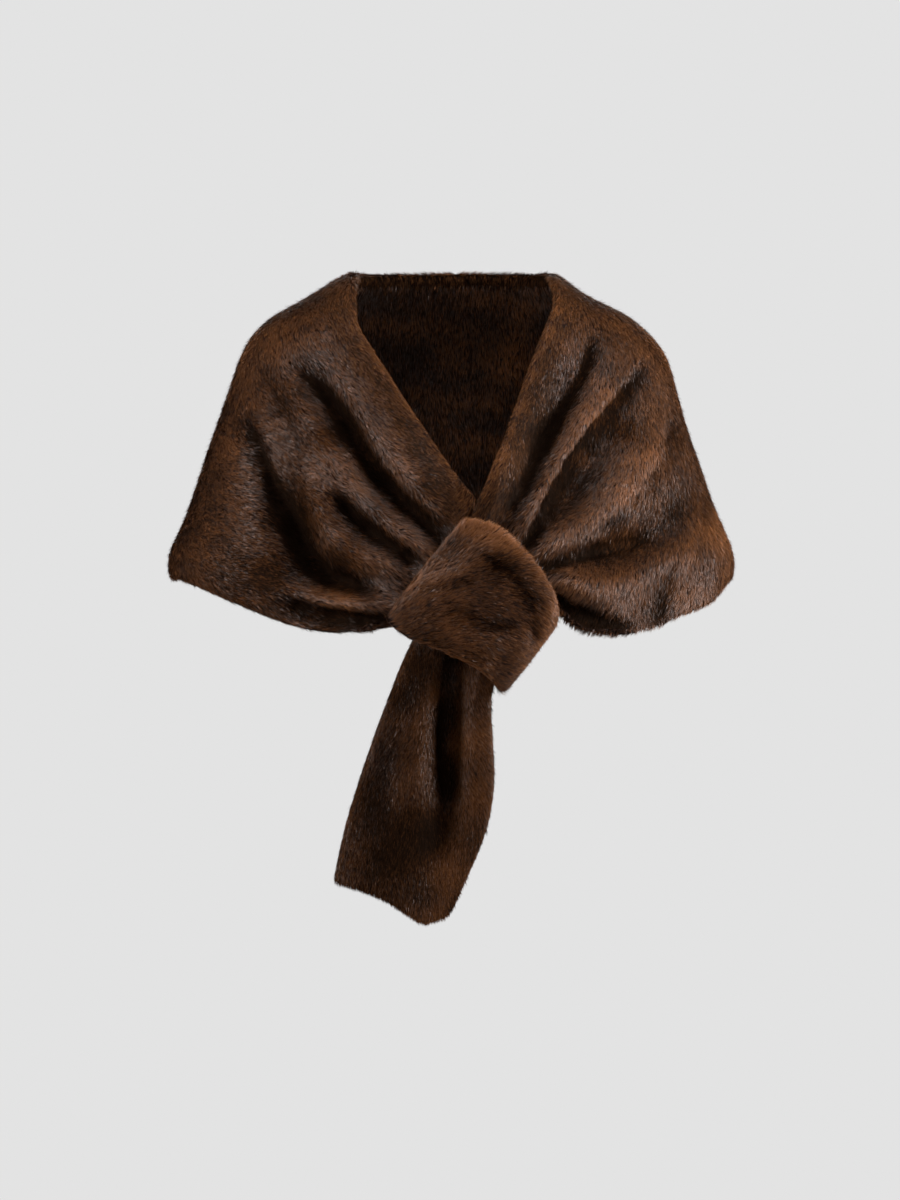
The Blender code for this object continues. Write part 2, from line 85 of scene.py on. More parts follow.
# %% Helpers for colours and nodes
def colour(hex_value):
    """An sRGB hex colour as linear red, green, blue and 1."""
    parts = [int(hex_value[i : i + 2], 16) / 255 for i in (1, 3, 5)]
    return tuple(c / 12.92 if c <= 0.04045 else ((c + 0.055) / 1.055) ** 2.4 for c in parts) + (1.0,)


def add_node(tree, kind, settings=None, inputs=None):
    """A node of that kind; inputs holds a value or another node's output for each socket."""
    node = tree.nodes.new(kind)
    for name, value in (settings or {}).items():
        setattr(node, name, value)
    for name, value in (inputs or {}).items():
        if isinstance(value, bpy.types.NodeSocket):
            tree.links.new(value, node.inputs[name])
        else:
            node.inputs[name].default_value = value
    return node


print("half white as linear light:", round(colour("#808080")[0], 3))


# %% [markdown]
# ## Studio lights
# Two soft lights stand at the cape's sides and a third hangs above, because the photograph shows a
# soft sheen on the ridges that face left and right, and nearly black troughs between them. A weak one
# in front opens the troughs a little, and one behind lights the cape's back when the view turns.
# They are area lights, because a small light would make hard sparks on the hair.

# %% Lights
# name, place, size, watts
LIGHTS = (
    ("left_softbox", (-1.6, -0.45, 0.40), (0.7, 1.2), 47.0),
    ("right_softbox", (1.6, -0.45, 0.40), (0.7, 1.2), 76.0),
    ("top_softbox", (0.0, -0.45, 1.4), (1.2, 0.6), 25.0),
    ("front_fill", (0.0, -2.6, 0.3), (1.6, 1.6), 8.0),
    ("back_fill", (0.0, 2.4, 0.5), (1.6, 1.6), 24.0),
)
LIGHTS_AIM = Vector((0, 0, -0.25))

for light_name, place, size, watts in LIGHTS:
    light_data = bpy.data.lights.new(light_name, "AREA")
    light_data.shape = "RECTANGLE"
    light_data.size, light_data.size_y = size
    light_data.energy = watts
    light = bpy.data.objects.new(light_name, light_data)
    light.location = place
    aim = LIGHTS_AIM - Vector(place)
    light.rotation_euler = aim.to_track_quat("-Z", "Y").to_euler()
    light.visible_camera = False
    scene.collection.objects.link(light)
print("lights:", len(LIGHTS), "watts in all:", sum(watts for *_, watts in LIGHTS))


# %% [markdown]
# ## Backdrop and floor
# The backdrop is an even pale grey. A painted wall would take shadows, so it is the world's own
# colour, as the camera sees it, while the cape itself feels only a weak light from it. The floor is a
# round of grey paper below the photograph's view.

# %% Backdrop and floor
BACKDROP = "#e3e3e3"
ROOM_LIGHT = "#f2f2f4"
ROOM_STRENGTH = 0.07
PAPER_GREY = "#a4a4a4"
FLOOR_HEIGHT = -1.0
FLOOR_RADIUS = 1.8

world = bpy.data.worlds.new("studio")
scene.world = world
world.use_nodes = True
world_tree = world.node_tree
world_tree.nodes.clear()
seen = add_node(world_tree, "ShaderNodeBackground", inputs={"Color": colour(BACKDROP), "Strength": 1.0})
felt = add_node(
    world_tree,
    "ShaderNodeBackground",
    inputs={"Color": colour(ROOM_LIGHT), "Strength": ROOM_STRENGTH},
)
ray = add_node(world_tree, "ShaderNodeLightPath")
both = add_node(
    world_tree,
    "ShaderNodeMixShader",
    inputs={0: ray.outputs["Is Camera Ray"], 1: felt.outputs[0], 2: seen.outputs[0]},
)
add_node(world_tree, "ShaderNodeOutputWorld", inputs={"Surface": both.outputs[0]})

floor_mesh = bpy.data.meshes.new("floor")
floor_bm = bmesh.new()
bmesh.ops.create_circle(floor_bm, cap_ends=True, segments=64, radius=FLOOR_RADIUS)
bmesh.ops.translate(floor_bm, vec=(0, 0, FLOOR_HEIGHT), verts=floor_bm.verts)
floor_bm.to_mesh(floor_mesh)
floor_bm.free()
floor = bpy.data.objects.new("floor", floor_mesh)
scene.collection.objects.link(floor)

# Matt paper: rough, so that no highlight of a lamp shows on it.
paper = bpy.data.materials.new("matt_backdrop_paper")
paper.use_nodes = True
paper_surface = paper.node_tree.nodes["Principled BSDF"]
paper_surface.inputs["Base Color"].default_value = colour(PAPER_GREY)
paper_surface.inputs["Roughness"].default_value = 0.9
floor_mesh.materials.append(paper)
print("floor across in m:", 2 * FLOOR_RADIUS)


# %% [markdown]
# ## Which way is out
# The solids have two faces, one towards the wearer and one towards the world. Hair, and how far the
# skin is drawn in beneath it, depend on which face a point is on. The body is close to an ellipse
# seen from above, so its outward direction is easy to work out, with a share of up at the shoulders.

# %% Outward direction
BODY_HALF_WIDTH = 0.25
BODY_HALF_DEPTH = 0.13
SHOULDERS_FROM = -0.10  # the height above which outward begins to lean up
SHOULDERS_RISE = 0.10
MOST_LEAN = 1.3
UP_WEIGHT = 6.0  # sideways has a weight of 4 at the body's side


def unit(vectors):
    return vectors / np.maximum(np.linalg.norm(vectors, axis=-1, keepdims=True), 1e-12)


def outward(points):
    """Away from the wearer, at each point."""
    up = np.clip((points[:, 2] - SHOULDERS_FROM) / SHOULDERS_RISE, 0, MOST_LEAN) * UP_WEIGHT
    return unit(
        np.stack(
            [points[:, 0] / BODY_HALF_WIDTH**2, points[:, 1] / BODY_HALF_DEPTH**2, up],
            axis=1,
        )
    )


print("outward on a shoulder:", outward(np.array([[0.2, 0.0, 0.0]])).round(2)[0])


# %% [markdown]
# ## Smooth noise and lines
# Nothing on a cape is even, so folds, nap and shade all vary. The variation has to be smooth, or the
# fur would look like sand. A noise texture would do for a colour, but the code below needs numbers
# for hundreds of thousands of points at once, and a sum of a few random waves gives those quickly.
# Creases and edges are lines as seen from the front, so another helper measures how far each point is
# from such a line.


# %% Helpers for noise and lines
PACES = (0.6, 1.5)  # the waves differ in length, so that their sum looks random
PEAK = 1.6  # the sum seldom passes this many times its usual size


def soft_noise(points, size, seed, waves=14):
    """Smooth noise, mostly from -1 to 1, with features of that size in metres."""
    rng = np.random.default_rng(seed)
    ways = unit(rng.normal(size=(waves, 3)))
    pace = ways * (2 * math.pi / size) * rng.uniform(*PACES, (waves, 1))
    start = rng.uniform(0, 2 * math.pi, waves)
    usual_sum = math.sqrt(waves / 2)
    return np.sin(points @ pace.T + start).sum(axis=1) / usual_sum / PEAK


def smooth_step(low, high, x):
    """0 up to low, 1 from high on, and a soft rise between them."""
    t = np.clip((x - low) / (high - low), 0.0, 1.0)
    return t * t * (3 - 2 * t)


def beside_line(points, line):
    """For each point, as seen from the front: distance to the line, side of it, and share along it."""
    flat = points[:, [0, 2]]
    nearest = np.full(len(points), 1e9)
    side, share = np.zeros(len(points)), np.zeros(len(points))
    corners = np.array(line)
    lengths = np.linalg.norm(np.diff(corners, axis=0), axis=1)
    passed = 0.0
    for start, run, reach in zip(corners[:-1], np.diff(corners, axis=0), lengths):
        away = flat - start
        along = np.clip(away @ run / reach**2, 0, 1)
        apart = np.linalg.norm(away - along[:, None] * run, axis=1)
        closer = apart < nearest
        nearest[closer] = apart[closer]
        side[closer] = np.sign(run[0] * away[:, 1] - run[1] * away[:, 0])[closer]
        share[closer] = ((passed + along * reach) / lengths.sum())[closer]
        passed += reach
    return nearest, side, share


def rounded(line, rounds=2):
    """The line with its corners cut, so that it bends softly."""
    line = np.array(line, float)
    for _ in range(rounds):
        early, late = 0.75 * line[:-1] + 0.25 * line[1:], 0.25 * line[:-1] + 0.75 * line[1:]
        between = np.stack([early, late], axis=1).reshape(-1, 2)
        line = np.vstack([line[:1], between, line[-1:]])
    return line


print("halfway up a soft step:", smooth_step(0.0, 1.0, 0.5))


# %% [markdown]
# ## The creases
# The solids carry the broad folds. The photograph also shows narrow creases, which run from the shoulders to
# the knot. A cloth simulation would make creases, but not these ones, so each is a line listed one by one,
# with its own depth. A fold in thick fur falls away steeply on the side of its ridge and rises slowly on the
# other, so each crease has two widths. The back was not seen, so its creases are of the same kind, and fan
# down from the shoulders.

# %% Creases, listed one by one
# node, depth, width on the steep side, width on the easy side (metres), steep side, points (x, z)
CREASES = (
    (
        "right_front", 0.0062, 0.0055, 0.0130, 1,
        ((-0.219, -0.100), (-0.212, -0.125), (-0.196, -0.162), (-0.178, -0.200), (-0.157, -0.242),
         (-0.138, -0.277), (-0.110, -0.290), (-0.070, -0.298)),
    ),
    (
        "right_front", 0.0060, 0.0050, 0.0095, -1,
        ((-0.172, -0.062), (-0.155, -0.083), (-0.140, -0.094), (-0.116, -0.125), (-0.102, -0.152),
         (-0.081, -0.187), (-0.061, -0.208), (-0.033, -0.232), (-0.010, -0.262)),
    ),
    (
        "right_front", 0.0052, 0.0050, 0.0090, -1,
        ((-0.132, -0.196), (-0.118, -0.210), (-0.102, -0.228), (-0.081, -0.246), (-0.061, -0.259),
         (-0.035, -0.278)),
    ),
    (
        "right_front", 0.0048, 0.0050, 0.0130, 1,
        ((-0.185, -0.300), (-0.157, -0.313), (-0.133, -0.321), (-0.102, -0.325), (-0.071, -0.328),
         (-0.040, -0.330)),
    ),
    (
        "right_front", 0.0020, 0.0080, 0.0120, 1,
        ((-0.205, -0.055), (-0.185, -0.085), (-0.165, -0.140), (-0.145, -0.185)),
    ),
    (
        "right_front", 0.0016, 0.0070, 0.0110, 1,
        ((-0.130, -0.040), (-0.112, -0.075), (-0.085, -0.120), (-0.052, -0.175)),
    ),
    (
        "left_front", 0.0055, 0.0045, 0.0110, -1,
        ((0.143, -0.030), (0.134, -0.056), (0.126, -0.082), (0.116, -0.100), (0.104, -0.120),
         (0.088, -0.146), (0.078, -0.170), (0.066, -0.196), (0.048, -0.230)),
    ),
    (
        "left_front", 0.0060, 0.0045, 0.0125, -1,
        ((0.196, -0.050), (0.190, -0.066), (0.181, -0.084), (0.163, -0.106), (0.143, -0.130),
         (0.125, -0.154), (0.104, -0.183), (0.094, -0.206), (0.084, -0.230), (0.069, -0.254),
         (0.060, -0.275)),
    ),
    (
        "left_front", 0.0050, 0.0045, 0.0120, 1,
        ((0.205, -0.238), (0.181, -0.253), (0.160, -0.260), (0.143, -0.263), (0.119, -0.269),
         (0.096, -0.275), (0.070, -0.285)),
    ),
    (
        "left_front", 0.0030, 0.0080, 0.0150, -1,
        ((0.226, -0.105), (0.218, -0.145), (0.196, -0.190), (0.165, -0.225), (0.135, -0.250)),
    ),
    (
        "left_front", 0.0028, 0.0070, 0.0100, 1,
        ((0.222, -0.265), (0.213, -0.291), (0.204, -0.318), (0.201, -0.338)),
    ),
    (
        "left_front", 0.0060, 0.0060, 0.0140, 1,
        ((0.085, -0.300), (0.110, -0.312), (0.131, -0.322), (0.157, -0.329), (0.185, -0.333)),
    ),
    (
        "left_front", 0.0018, 0.0060, 0.0120, -1,
        ((0.252, -0.180), (0.250, -0.215), (0.243, -0.262), (0.232, -0.300)),
    ),
    (
        "loop", 0.0028, 0.0060, 0.0130, 1,
        ((0.010, -0.262), (0.029, -0.270), (0.048, -0.281), (0.067, -0.300), (0.084, -0.324)),
    ),
    (
        "loop", 0.0024, 0.0050, 0.0110, 1,
        ((-0.014, -0.312), (0.010, -0.324), (0.029, -0.334), (0.048, -0.336), (0.066, -0.332)),
    ),
    (
        "loop", 0.0018, 0.0045, 0.0090, -1,
        ((0.080, -0.300), (0.074, -0.318), (0.073, -0.334), (0.077, -0.352)),
    ),
    (
        "loop", 0.0020, 0.0050, 0.0090, 1,
        ((-0.040, -0.303), (-0.021, -0.299), (0.001, -0.295), (0.022, -0.288)),
    ),
    (
        "loop", 0.0018, 0.0060, 0.0110, 1,
        ((-0.050, -0.338), (-0.020, -0.352), (0.014, -0.366), (0.040, -0.376)),
    ),
    (
        "tail", 0.0030, 0.0045, 0.0110, -1,
        ((-0.004, -0.325), (-0.008, -0.370), (-0.013, -0.420), (-0.014, -0.470), (-0.008, -0.520)),
    ),
    ("tail", 0.0018, 0.0060, 0.0110, 1, ((0.052, -0.400), (0.050, -0.450), (0.056, -0.510), (0.052, -0.570))),
    (
        "tail", 0.0016, 0.0080, 0.0140, 1,
        ((-0.060, -0.420), (-0.068, -0.480), (-0.070, -0.540), (-0.078, -0.590)),
    ),
    (
        "back", 0.0026, 0.0070, 0.0150, 1,
        ((-0.175, -0.040), (-0.168, -0.100), (-0.150, -0.170), (-0.120, -0.245)),
    ),
    (
        "back", 0.0018, 0.0060, 0.0120, -1,
        ((-0.105, -0.070), (-0.098, -0.130), (-0.080, -0.205), (-0.055, -0.285)),
    ),
    ("back", 0.0022, 0.0070, 0.0140, 1, ((0.052, -0.095), (0.060, -0.160), (0.064, -0.225))),
    (
        "back", 0.0028, 0.0065, 0.0160, -1,
        ((0.140, -0.030), (0.138, -0.095), (0.124, -0.165), (0.118, -0.250)),
    ),
    ("back", 0.0018, 0.0060, 0.0110, 1, ((0.208, -0.085), (0.200, -0.150), (0.182, -0.230))),
)
CREASES = [entry[:5] + (rounded(entry[5]),) for entry in CREASES]
DEEPENS_OVER = 0.22  # the share of a crease's length over which it deepens at its start
FADES_FROM = 0.85  # and the share from which it fades out
UNEVENNESS = 0.25
UNEVEN_SIZE = 0.030
CREASE_SEED = 900


def crease_depths(node, points):
    """How far the creases press each point in, in metres."""
    depths = np.zeros(len(points))
    for number, (name, depth, steep, easy, steep_side, line) in enumerate(CREASES):
        if name != node:
            continue
        apart, side, share = beside_line(points, line)
        width = np.where(side == steep_side, steep, easy)
        ends = smooth_step(0, DEEPENS_OVER, share) * (1 - smooth_step(FADES_FROM, 1, share))
        uneven = 1 + UNEVENNESS * soft_noise(points, UNEVEN_SIZE, CREASE_SEED + number)
        depths = np.maximum(depths, depth * ends * uneven * np.exp(-((apart / width) ** 2)))
    return depths


print("creases:", len(CREASES))


# %% [markdown]
# ## The skins
# A pelt is a thin soft leather with fur on it. A skin could be modelled anew, but the solid has its
# form already. So each skin starts as a copy of its CAD solid: the loose triangles are merged, paired
# into quads, and smoothed by one level of subdivision, which is enough for the hair to follow.

# %% Copies of the solids
SOFT_NODES = ("back", "back_lining", "right_front", "left_front", "loop", "tail")
DOUBLES_WITHIN = 1e-6
PAIR_BEND = math.radians(60)  # two triangles that bend less than this become a quad
PAIR_SKEW = math.radians(80)  # if that quad's corners are no further from square than this


def copy_of_solid(node):
    """The solid's mesh, merged and smoothed by one level, as a new object."""
    mesh = bpy.data.meshes.new("skin_" + node)
    bm = bmesh.new()
    bm.from_mesh(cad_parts[node].data)
    bmesh.ops.remove_doubles(bm, verts=bm.verts, dist=DOUBLES_WITHIN)
    bmesh.ops.join_triangles(
        bm,
        faces=bm.faces,
        angle_face_threshold=PAIR_BEND,
        angle_shape_threshold=PAIR_SKEW,
    )
    bm.to_mesh(mesh)
    bm.free()
    mesh.materials.clear()
    piece = bpy.data.objects.new("skin_" + node, mesh)
    scene.collection.objects.link(piece)
    smoother = piece.modifiers.new("soft_form", "SUBSURF")
    smoother.levels = smoother.render_levels = 1
    graph = bpy.context.evaluated_depsgraph_get()
    smooth = bpy.data.meshes.new_from_object(piece.evaluated_get(graph))
    piece.modifiers.clear()
    piece.data = smooth
    smooth.name = "skin_" + node
    return piece


skins = {node: copy_of_solid(node) for node in SOFT_NODES}
print("faces of each skin:", {node: len(skin.data.polygons) for node, skin in skins.items()})


# %% [markdown]
# ## Hills and hollows
# Folds show on fur because hair in a hollow is dark and hair on a ridge catches the light. Curvature
# would tell them apart, but it is noisy on a mesh. So each point is compared with the average of its
# wide neighbourhood, and one that lies below it is in a hollow. A still wider average takes away the
# round of the shoulders, which is no fold.

# %% Measuring the hollows
FOLD_ROUNDS = 60
SHOULDER_ROUNDS = 160


def points_of(mesh):
    values = np.empty(len(mesh.vertices) * 3)
    mesh.vertices.foreach_get("co", values)
    return values.reshape(-1, 3)


def normals_of(mesh):
    values = np.empty(len(mesh.vertices) * 3)
    mesh.vertex_normals.foreach_get("vector", values)
    return values.reshape(-1, 3)


def averaged(mesh, values, rounds):
    """The values, one row a point, each averaged with its neighbours that many times."""
    pairs = np.empty(len(mesh.edges) * 2, dtype=np.int32)
    mesh.edges.foreach_get("vertices", pairs)
    one, other = pairs[0::2], pairs[1::2]
    count = len(mesh.vertices)
    neighbours = np.maximum(np.bincount(np.concatenate([one, other]), minlength=count), 1)[:, None]
    smooth = np.array(values, float)
    for _ in range(rounds):
        total = np.zeros_like(smooth)
        for axis in range(smooth.shape[1]):
            from_other = np.bincount(one, smooth[other, axis], count)
            from_one = np.bincount(other, smooth[one, axis], count)
            total[:, axis] = from_other + from_one
        smooth = 0.5 * smooth + 0.5 * total / neighbours
    return smooth


def hollow_depths(mesh):
    """How far each point lies below its smoothed neighbourhood, in metres; below zero on a ridge."""
    points = points_of(mesh)
    return ((averaged(mesh, points, FOLD_ROUNDS) - points) * normals_of(mesh)).sum(axis=1)


def fold_depths(mesh):
    """Hollow depths of the folds alone, without the round of the shoulders."""
    hollow = hollow_depths(mesh)[:, None]
    return (hollow - averaged(mesh, hollow, SHOULDER_ROUNDS))[:, 0]


deepest = fold_depths(skins["right_front"].data).max()
print("deepest hollow of the right front in mm:", round(deepest * 1000, 1))


# %% [markdown]
# ## Drawing the skins in
# The solid ends where the tips of the hair end, so the leather has to lie a few millimetres deeper.
# A plain offset would soften the folds, so they are deepened by a share of their own depth first. The
# faces between the back and its lining carry no hair and stay where they are. At the side seams the
# walls don't move forwards or back, so that the seams stay shut.

# %% Skins drawn in
# node, how far its outer face and its inner face are drawn in, in metres
SKIN_DEPTHS = {
    "back": (0.0026, 0.0),
    "back_lining": (0.0, 0.0012),
    "right_front": (0.0024, 0.0022),
    "left_front": (0.0024, 0.0022),
    "loop": (0.0024, 0.0022),
    "tail": (0.0024, 0.0022),
}
# node, and how much deeper its folds become, as a share of their depth
FOLD_GAIN = {
    "back": 0.4,
    "back_lining": 0.0,
    "right_front": 0.5,
    "left_front": 0.3,
    "loop": 0.0,
    "tail": 0.2,
}
LEAST_FOLD = 0.0005
MOST_FOLD = 0.008
SIDE_SEAM_WALL = 0.004
FACES_BLEND = 0.25  # how softly the outer face's depth turns into the inner one's

# Corners that move a little: centre, radius and shift (x, z). The two edges of the V meet at theirs,
# and the tail's lowest corner becomes blunter.
NUDGES = {
    "tail": ((-0.018, -0.636), 0.012, (0.0, 0.007)),
    "right_front": ((0.010, -0.212), 0.017, (0.0105, -0.0040)),
    "left_front": ((0.024, -0.220), 0.015, (-0.0035, 0.0)),
}


def move_points(mesh, points):
    mesh.vertices.foreach_set("co", points.ravel())
    mesh.update()


def facing_out(points, normals):
    """1 where the surface faces straight away from the wearer, -1 where it faces the wearer."""
    return (normals * outward(points)).sum(axis=1)


def inner_sign(node):
    """A fold shows on both faces of a wall. The back's inner face lies on the lining and stays."""
    return 0 if node == "back" else -1


def draw_in(node, mesh):
    """Deepens the skin's folds and draws it in beneath its hair."""
    outer_depth, inner_depth = SKIN_DEPTHS[node]
    points, normals = points_of(mesh), normals_of(mesh)
    facing = facing_out(points, normals)
    share = smooth_step(-FACES_BLEND, FACES_BLEND, facing)
    outer_fold = fold_depths(mesh) * np.where(facing > 0, 1, -1)
    fold = np.clip(outer_fold - LEAST_FOLD, 0, MOST_FOLD)
    deeper = np.where(facing > 0, 1, inner_sign(node)) * fold * FOLD_GAIN[node]
    inwards = normals.copy()
    inwards[np.abs(points[:, 1]) < SIDE_SEAM_WALL, 1] = 0.0
    depth = outer_depth * share + inner_depth * (1 - share)
    move_points(mesh, points - normals * deeper[:, None] - inwards * depth[:, None])


def nudge_corner(mesh, centre, radius, shift):
    """Moves the points about a corner, less and less away from it."""
    points = points_of(mesh)
    near = np.exp(-(np.linalg.norm(points[:, [0, 2]] - centre, axis=1) / radius) ** 2)
    points[:, [0, 2]] += near[:, None] * shift
    move_points(mesh, points)


for node, skin in skins.items():
    before = points_of(skin.data)
    draw_in(node, skin.data)
    if node in NUDGES:
        nudge_corner(skin.data, *NUDGES[node])
    moved = np.linalg.norm(points_of(skin.data) - before, axis=1)
    print(skin.name, "moved by at most, in mm:", round(moved.max() * 1000, 1))


# %% [markdown]
# ## Pressing the creases in
# A crease is narrower than the skin's faces, so the faces beside it are split once more before it is
# pressed in. Finer faces everywhere would also do, but most of them would be of no use. The hollow at
# each point, with its crease, is kept, because the hair's shade and gloss depend on it.

# %% Skins with their creases
CREASE_SHOWS = 0.0004
HOLLOW_ROUNDS = 12
HOLLOW_SHARE = 0.4  # of a broad fold's depth, against the whole depth of a crease


def press_creases(node, mesh, hollow):
    """Splits the faces near the creases and presses these in; returns the hollows, now deeper."""
    mesh.attributes.new("hollow", "FLOAT", "POINT").data.foreach_set("value", hollow)
    points, normals = points_of(mesh), normals_of(mesh)
    near = (crease_depths(node, points) > CREASE_SHOWS) & (facing_out(points, normals) > 0)
    bm = bmesh.new()
    bm.from_mesh(mesh)
    split = [edge for edge in bm.edges if near[edge.verts[0].index] or near[edge.verts[1].index]]
    bmesh.ops.subdivide_edges(bm, edges=split, cuts=1, use_grid_fill=True)
    bm.to_mesh(mesh)
    bm.free()
    hollow = np.empty(len(mesh.vertices))
    mesh.attributes["hollow"].data.foreach_get("value", hollow)
    mesh.attributes.remove(mesh.attributes["hollow"])
    points, normals = points_of(mesh), normals_of(mesh)
    outer = facing_out(points, normals) > 0
    depth = crease_depths(node, points)
    pressed = depth * np.where(outer, 1, inner_sign(node))
    move_points(mesh, points - normals * pressed[:, None])
    return hollow + depth * outer


hollows = {}
for node, skin in skins.items():
    mesh = skin.data
    hollow = averaged(mesh, fold_depths(mesh)[:, None], HOLLOW_ROUNDS)[:, 0]
    hollows[node] = press_creases(node, mesh, HOLLOW_SHARE * hollow)
    for face in mesh.polygons:
        face.use_smooth = True
    spread = np.round(np.percentile(hollows[node], (2, 50, 98)) * 1000, 1)
    print(skin.name, "faces:", len(mesh.polygons), "hollows in mm:", spread)


# %% [markdown]
# ## Leather under the hair
# What shows between the hairs is the dense short underfur. It could be left out under so much hair, but then
# pale leather would shine through wherever the hair parts. It is nearly black brown and quite matt: partly
# its own colour and partly painted shade, which gives the eye the depth of the pile. Its clumps are about 4
# mm across. Its hairs are 0.02 mm wide, too fine to show, so their marks are drawn at 1.2 mm, as coarse as
# they need to be.

# %% Underfur material
CLUMP = 0.004
HAIR_MARK = 0.0012
MARK_RELIEF = 0.0015


def set_ramp(ramp_node, stops):
    """Gives a Color Ramp its (position, hex colour) stops."""
    elements = ramp_node.color_ramp.elements
    while len(elements) > 1:
        elements.remove(elements[-1])
    elements[0].position, elements[0].color = stops[0][0], colour(stops[0][1])
    for position, hex_value in stops[1:]:
        elements.new(position).color = colour(hex_value)
    return ramp_node


underfur = bpy.data.materials.new("dark_underfur")
underfur.use_nodes = True
tree = underfur.node_tree
surface = tree.nodes["Principled BSDF"]
place = add_node(tree, "ShaderNodeTexCoord")
clumps = add_node(
    tree,
    "ShaderNodeTexNoise",
    inputs={"Vector": place.outputs["Object"], "Scale": 1 / CLUMP, "Detail": 4.0, "Roughness": 0.65},
)
clump_colour = set_ramp(
    add_node(tree, "ShaderNodeValToRGB", inputs={"Fac": clumps.outputs["Fac"]}),
    ((0.30, "#0e0704"), (0.55, "#1f110a"), (0.75, "#301c11")),
)
marks = add_node(
    tree,
    "ShaderNodeTexNoise",
    inputs={"Vector": place.outputs["Object"], "Scale": 1 / HAIR_MARK, "Detail": 2.0},
)
relief = add_node(
    tree,
    "ShaderNodeBump",
    inputs={"Height": marks.outputs["Fac"], "Strength": 0.5, "Distance": MARK_RELIEF},
)
tree.links.new(clump_colour.outputs["Color"], surface.inputs["Base Color"])
tree.links.new(relief.outputs["Normal"], surface.inputs["Normal"])
surface.inputs["Roughness"].default_value = 0.85
surface.inputs["Specular IOR Level"].default_value = 0.05
for skin in skins.values():
    skin.data.materials.append(underfur)
print("material:", underfur.name)


# %% [markdown]
# ## Guard hair
# Mink has a glossy guard hair, darkest at its root: partly its own colour and partly painted shade deep in
# the pile. A noise over the surface could colour it, but then each hair would change colour along its side.
# So the colour depends only on the hair's own UV: the first number is the hair's shade, from dark to light,
# and the second runs from root to tip.
# Hairs of one shade then share one strip of a small palette. The gloss is the shader's own: each hair
# is a blade that is turned a little about its length, so a broad highlight runs across the nap.


# %% Guard hair materials
ROOT_MIDDLE_TIP = (0.0, 0.45, 1.0)
SHEEN_ROUGHNESS = 0.4


def hair_material(name, dark, light, roughness, gloss, gloss_colour, sheen, sheen_colour):
    """dark and light are the root, middle and tip colours of the darkest and the lightest hair."""
    material = bpy.data.materials.new(name)
    material.use_nodes = True
    tree = material.node_tree
    surface = tree.nodes["Principled BSDF"]
    palette = add_node(tree, "ShaderNodeUVMap", settings={"uv_map": "OFBake"})
    parts = add_node(tree, "ShaderNodeSeparateXYZ", inputs={"Vector": palette.outputs["UV"]})
    dark_ramp, light_ramp = [
        set_ramp(
            add_node(tree, "ShaderNodeValToRGB", inputs={"Fac": parts.outputs["Y"]}),
            tuple(zip(ROOT_MIDDLE_TIP, stops)),
        )
        for stops in (dark, light)
    ]
    shade = add_node(
        tree,
        "ShaderNodeMixRGB",
        inputs={
            "Fac": parts.outputs["X"],
            "Color1": dark_ramp.outputs["Color"],
            "Color2": light_ramp.outputs["Color"],
        },
    )
    tree.links.new(shade.outputs["Color"], surface.inputs["Base Color"])
    surface.inputs["Roughness"].default_value = roughness
    surface.inputs["Specular IOR Level"].default_value = gloss
    surface.inputs["Specular Tint"].default_value = colour(gloss_colour)
    surface.inputs["Sheen Weight"].default_value = sheen
    surface.inputs["Sheen Roughness"].default_value = SHEEN_ROUGHNESS
    surface.inputs["Sheen Tint"].default_value = colour(sheen_colour)
    return material


# Glossy guard hair on the ridges: the soft brown sheen by which mink is known.
MINK = hair_material(
    "brown_mink_guard_hair",
    dark=("#060302", "#130803", "#1e0e05"),
    light=("#20100a", "#683c1c", "#93603a"),
    roughness=0.42,
    gloss=0.33,
    gloss_colour="#f0d8d0",
    sheen=0.03,
    sheen_colour="#b09a94",
)
# Hair between the ridges, which its neighbours shade from the lamps: matt, and a little darker than the
# glossy hair as painted shade, so that the troughs stay dark.
SHELTERED = hair_material(
    "matt_hair_with_painted_shade_in_the_folds",
    dark=("#040201", "#0e0602", "#180b04"),
    light=("#1e0f07", "#5e3618", "#845432"),
    roughness=0.70,
    gloss=0.05,
    gloss_colour="#e8c8b0",
    sheen=0.0,
    sheen_colour="#b09a94",
)
# Hair worn flat on the turned edges of the neck: nearly matt, so that the strip looks smooth and dull.
PRESSED = hair_material(
    "pressed_mink_edge",
    dark=("#0a0502", "#160b05", "#1e1007"),
    light=("#1e0f08", "#4a2a12", "#704626"),
    roughness=0.62,
    gloss=0.09,
    gloss_colour="#e8c8b0",
    sheen=0.0,
    sheen_colour="#b09a94",
)
FINISHES = (MINK, SHELTERED, PRESSED)
print("materials:", [material.name for material in FINISHES])


# %% [markdown]
# ## The nap
# Hair lies the way the pelts were sewn: round the body from the middle of the back to the two ends
# in front, sloping down more and more towards the knot. It could be combed by hand in the editor, but
# a script couldn't repeat that. A short table says how steeply the hair slopes at a few places, and
# each hair takes a blend of the nearest ones. The loop and the tail have a table of their own, with
# the direction as seen from the front.

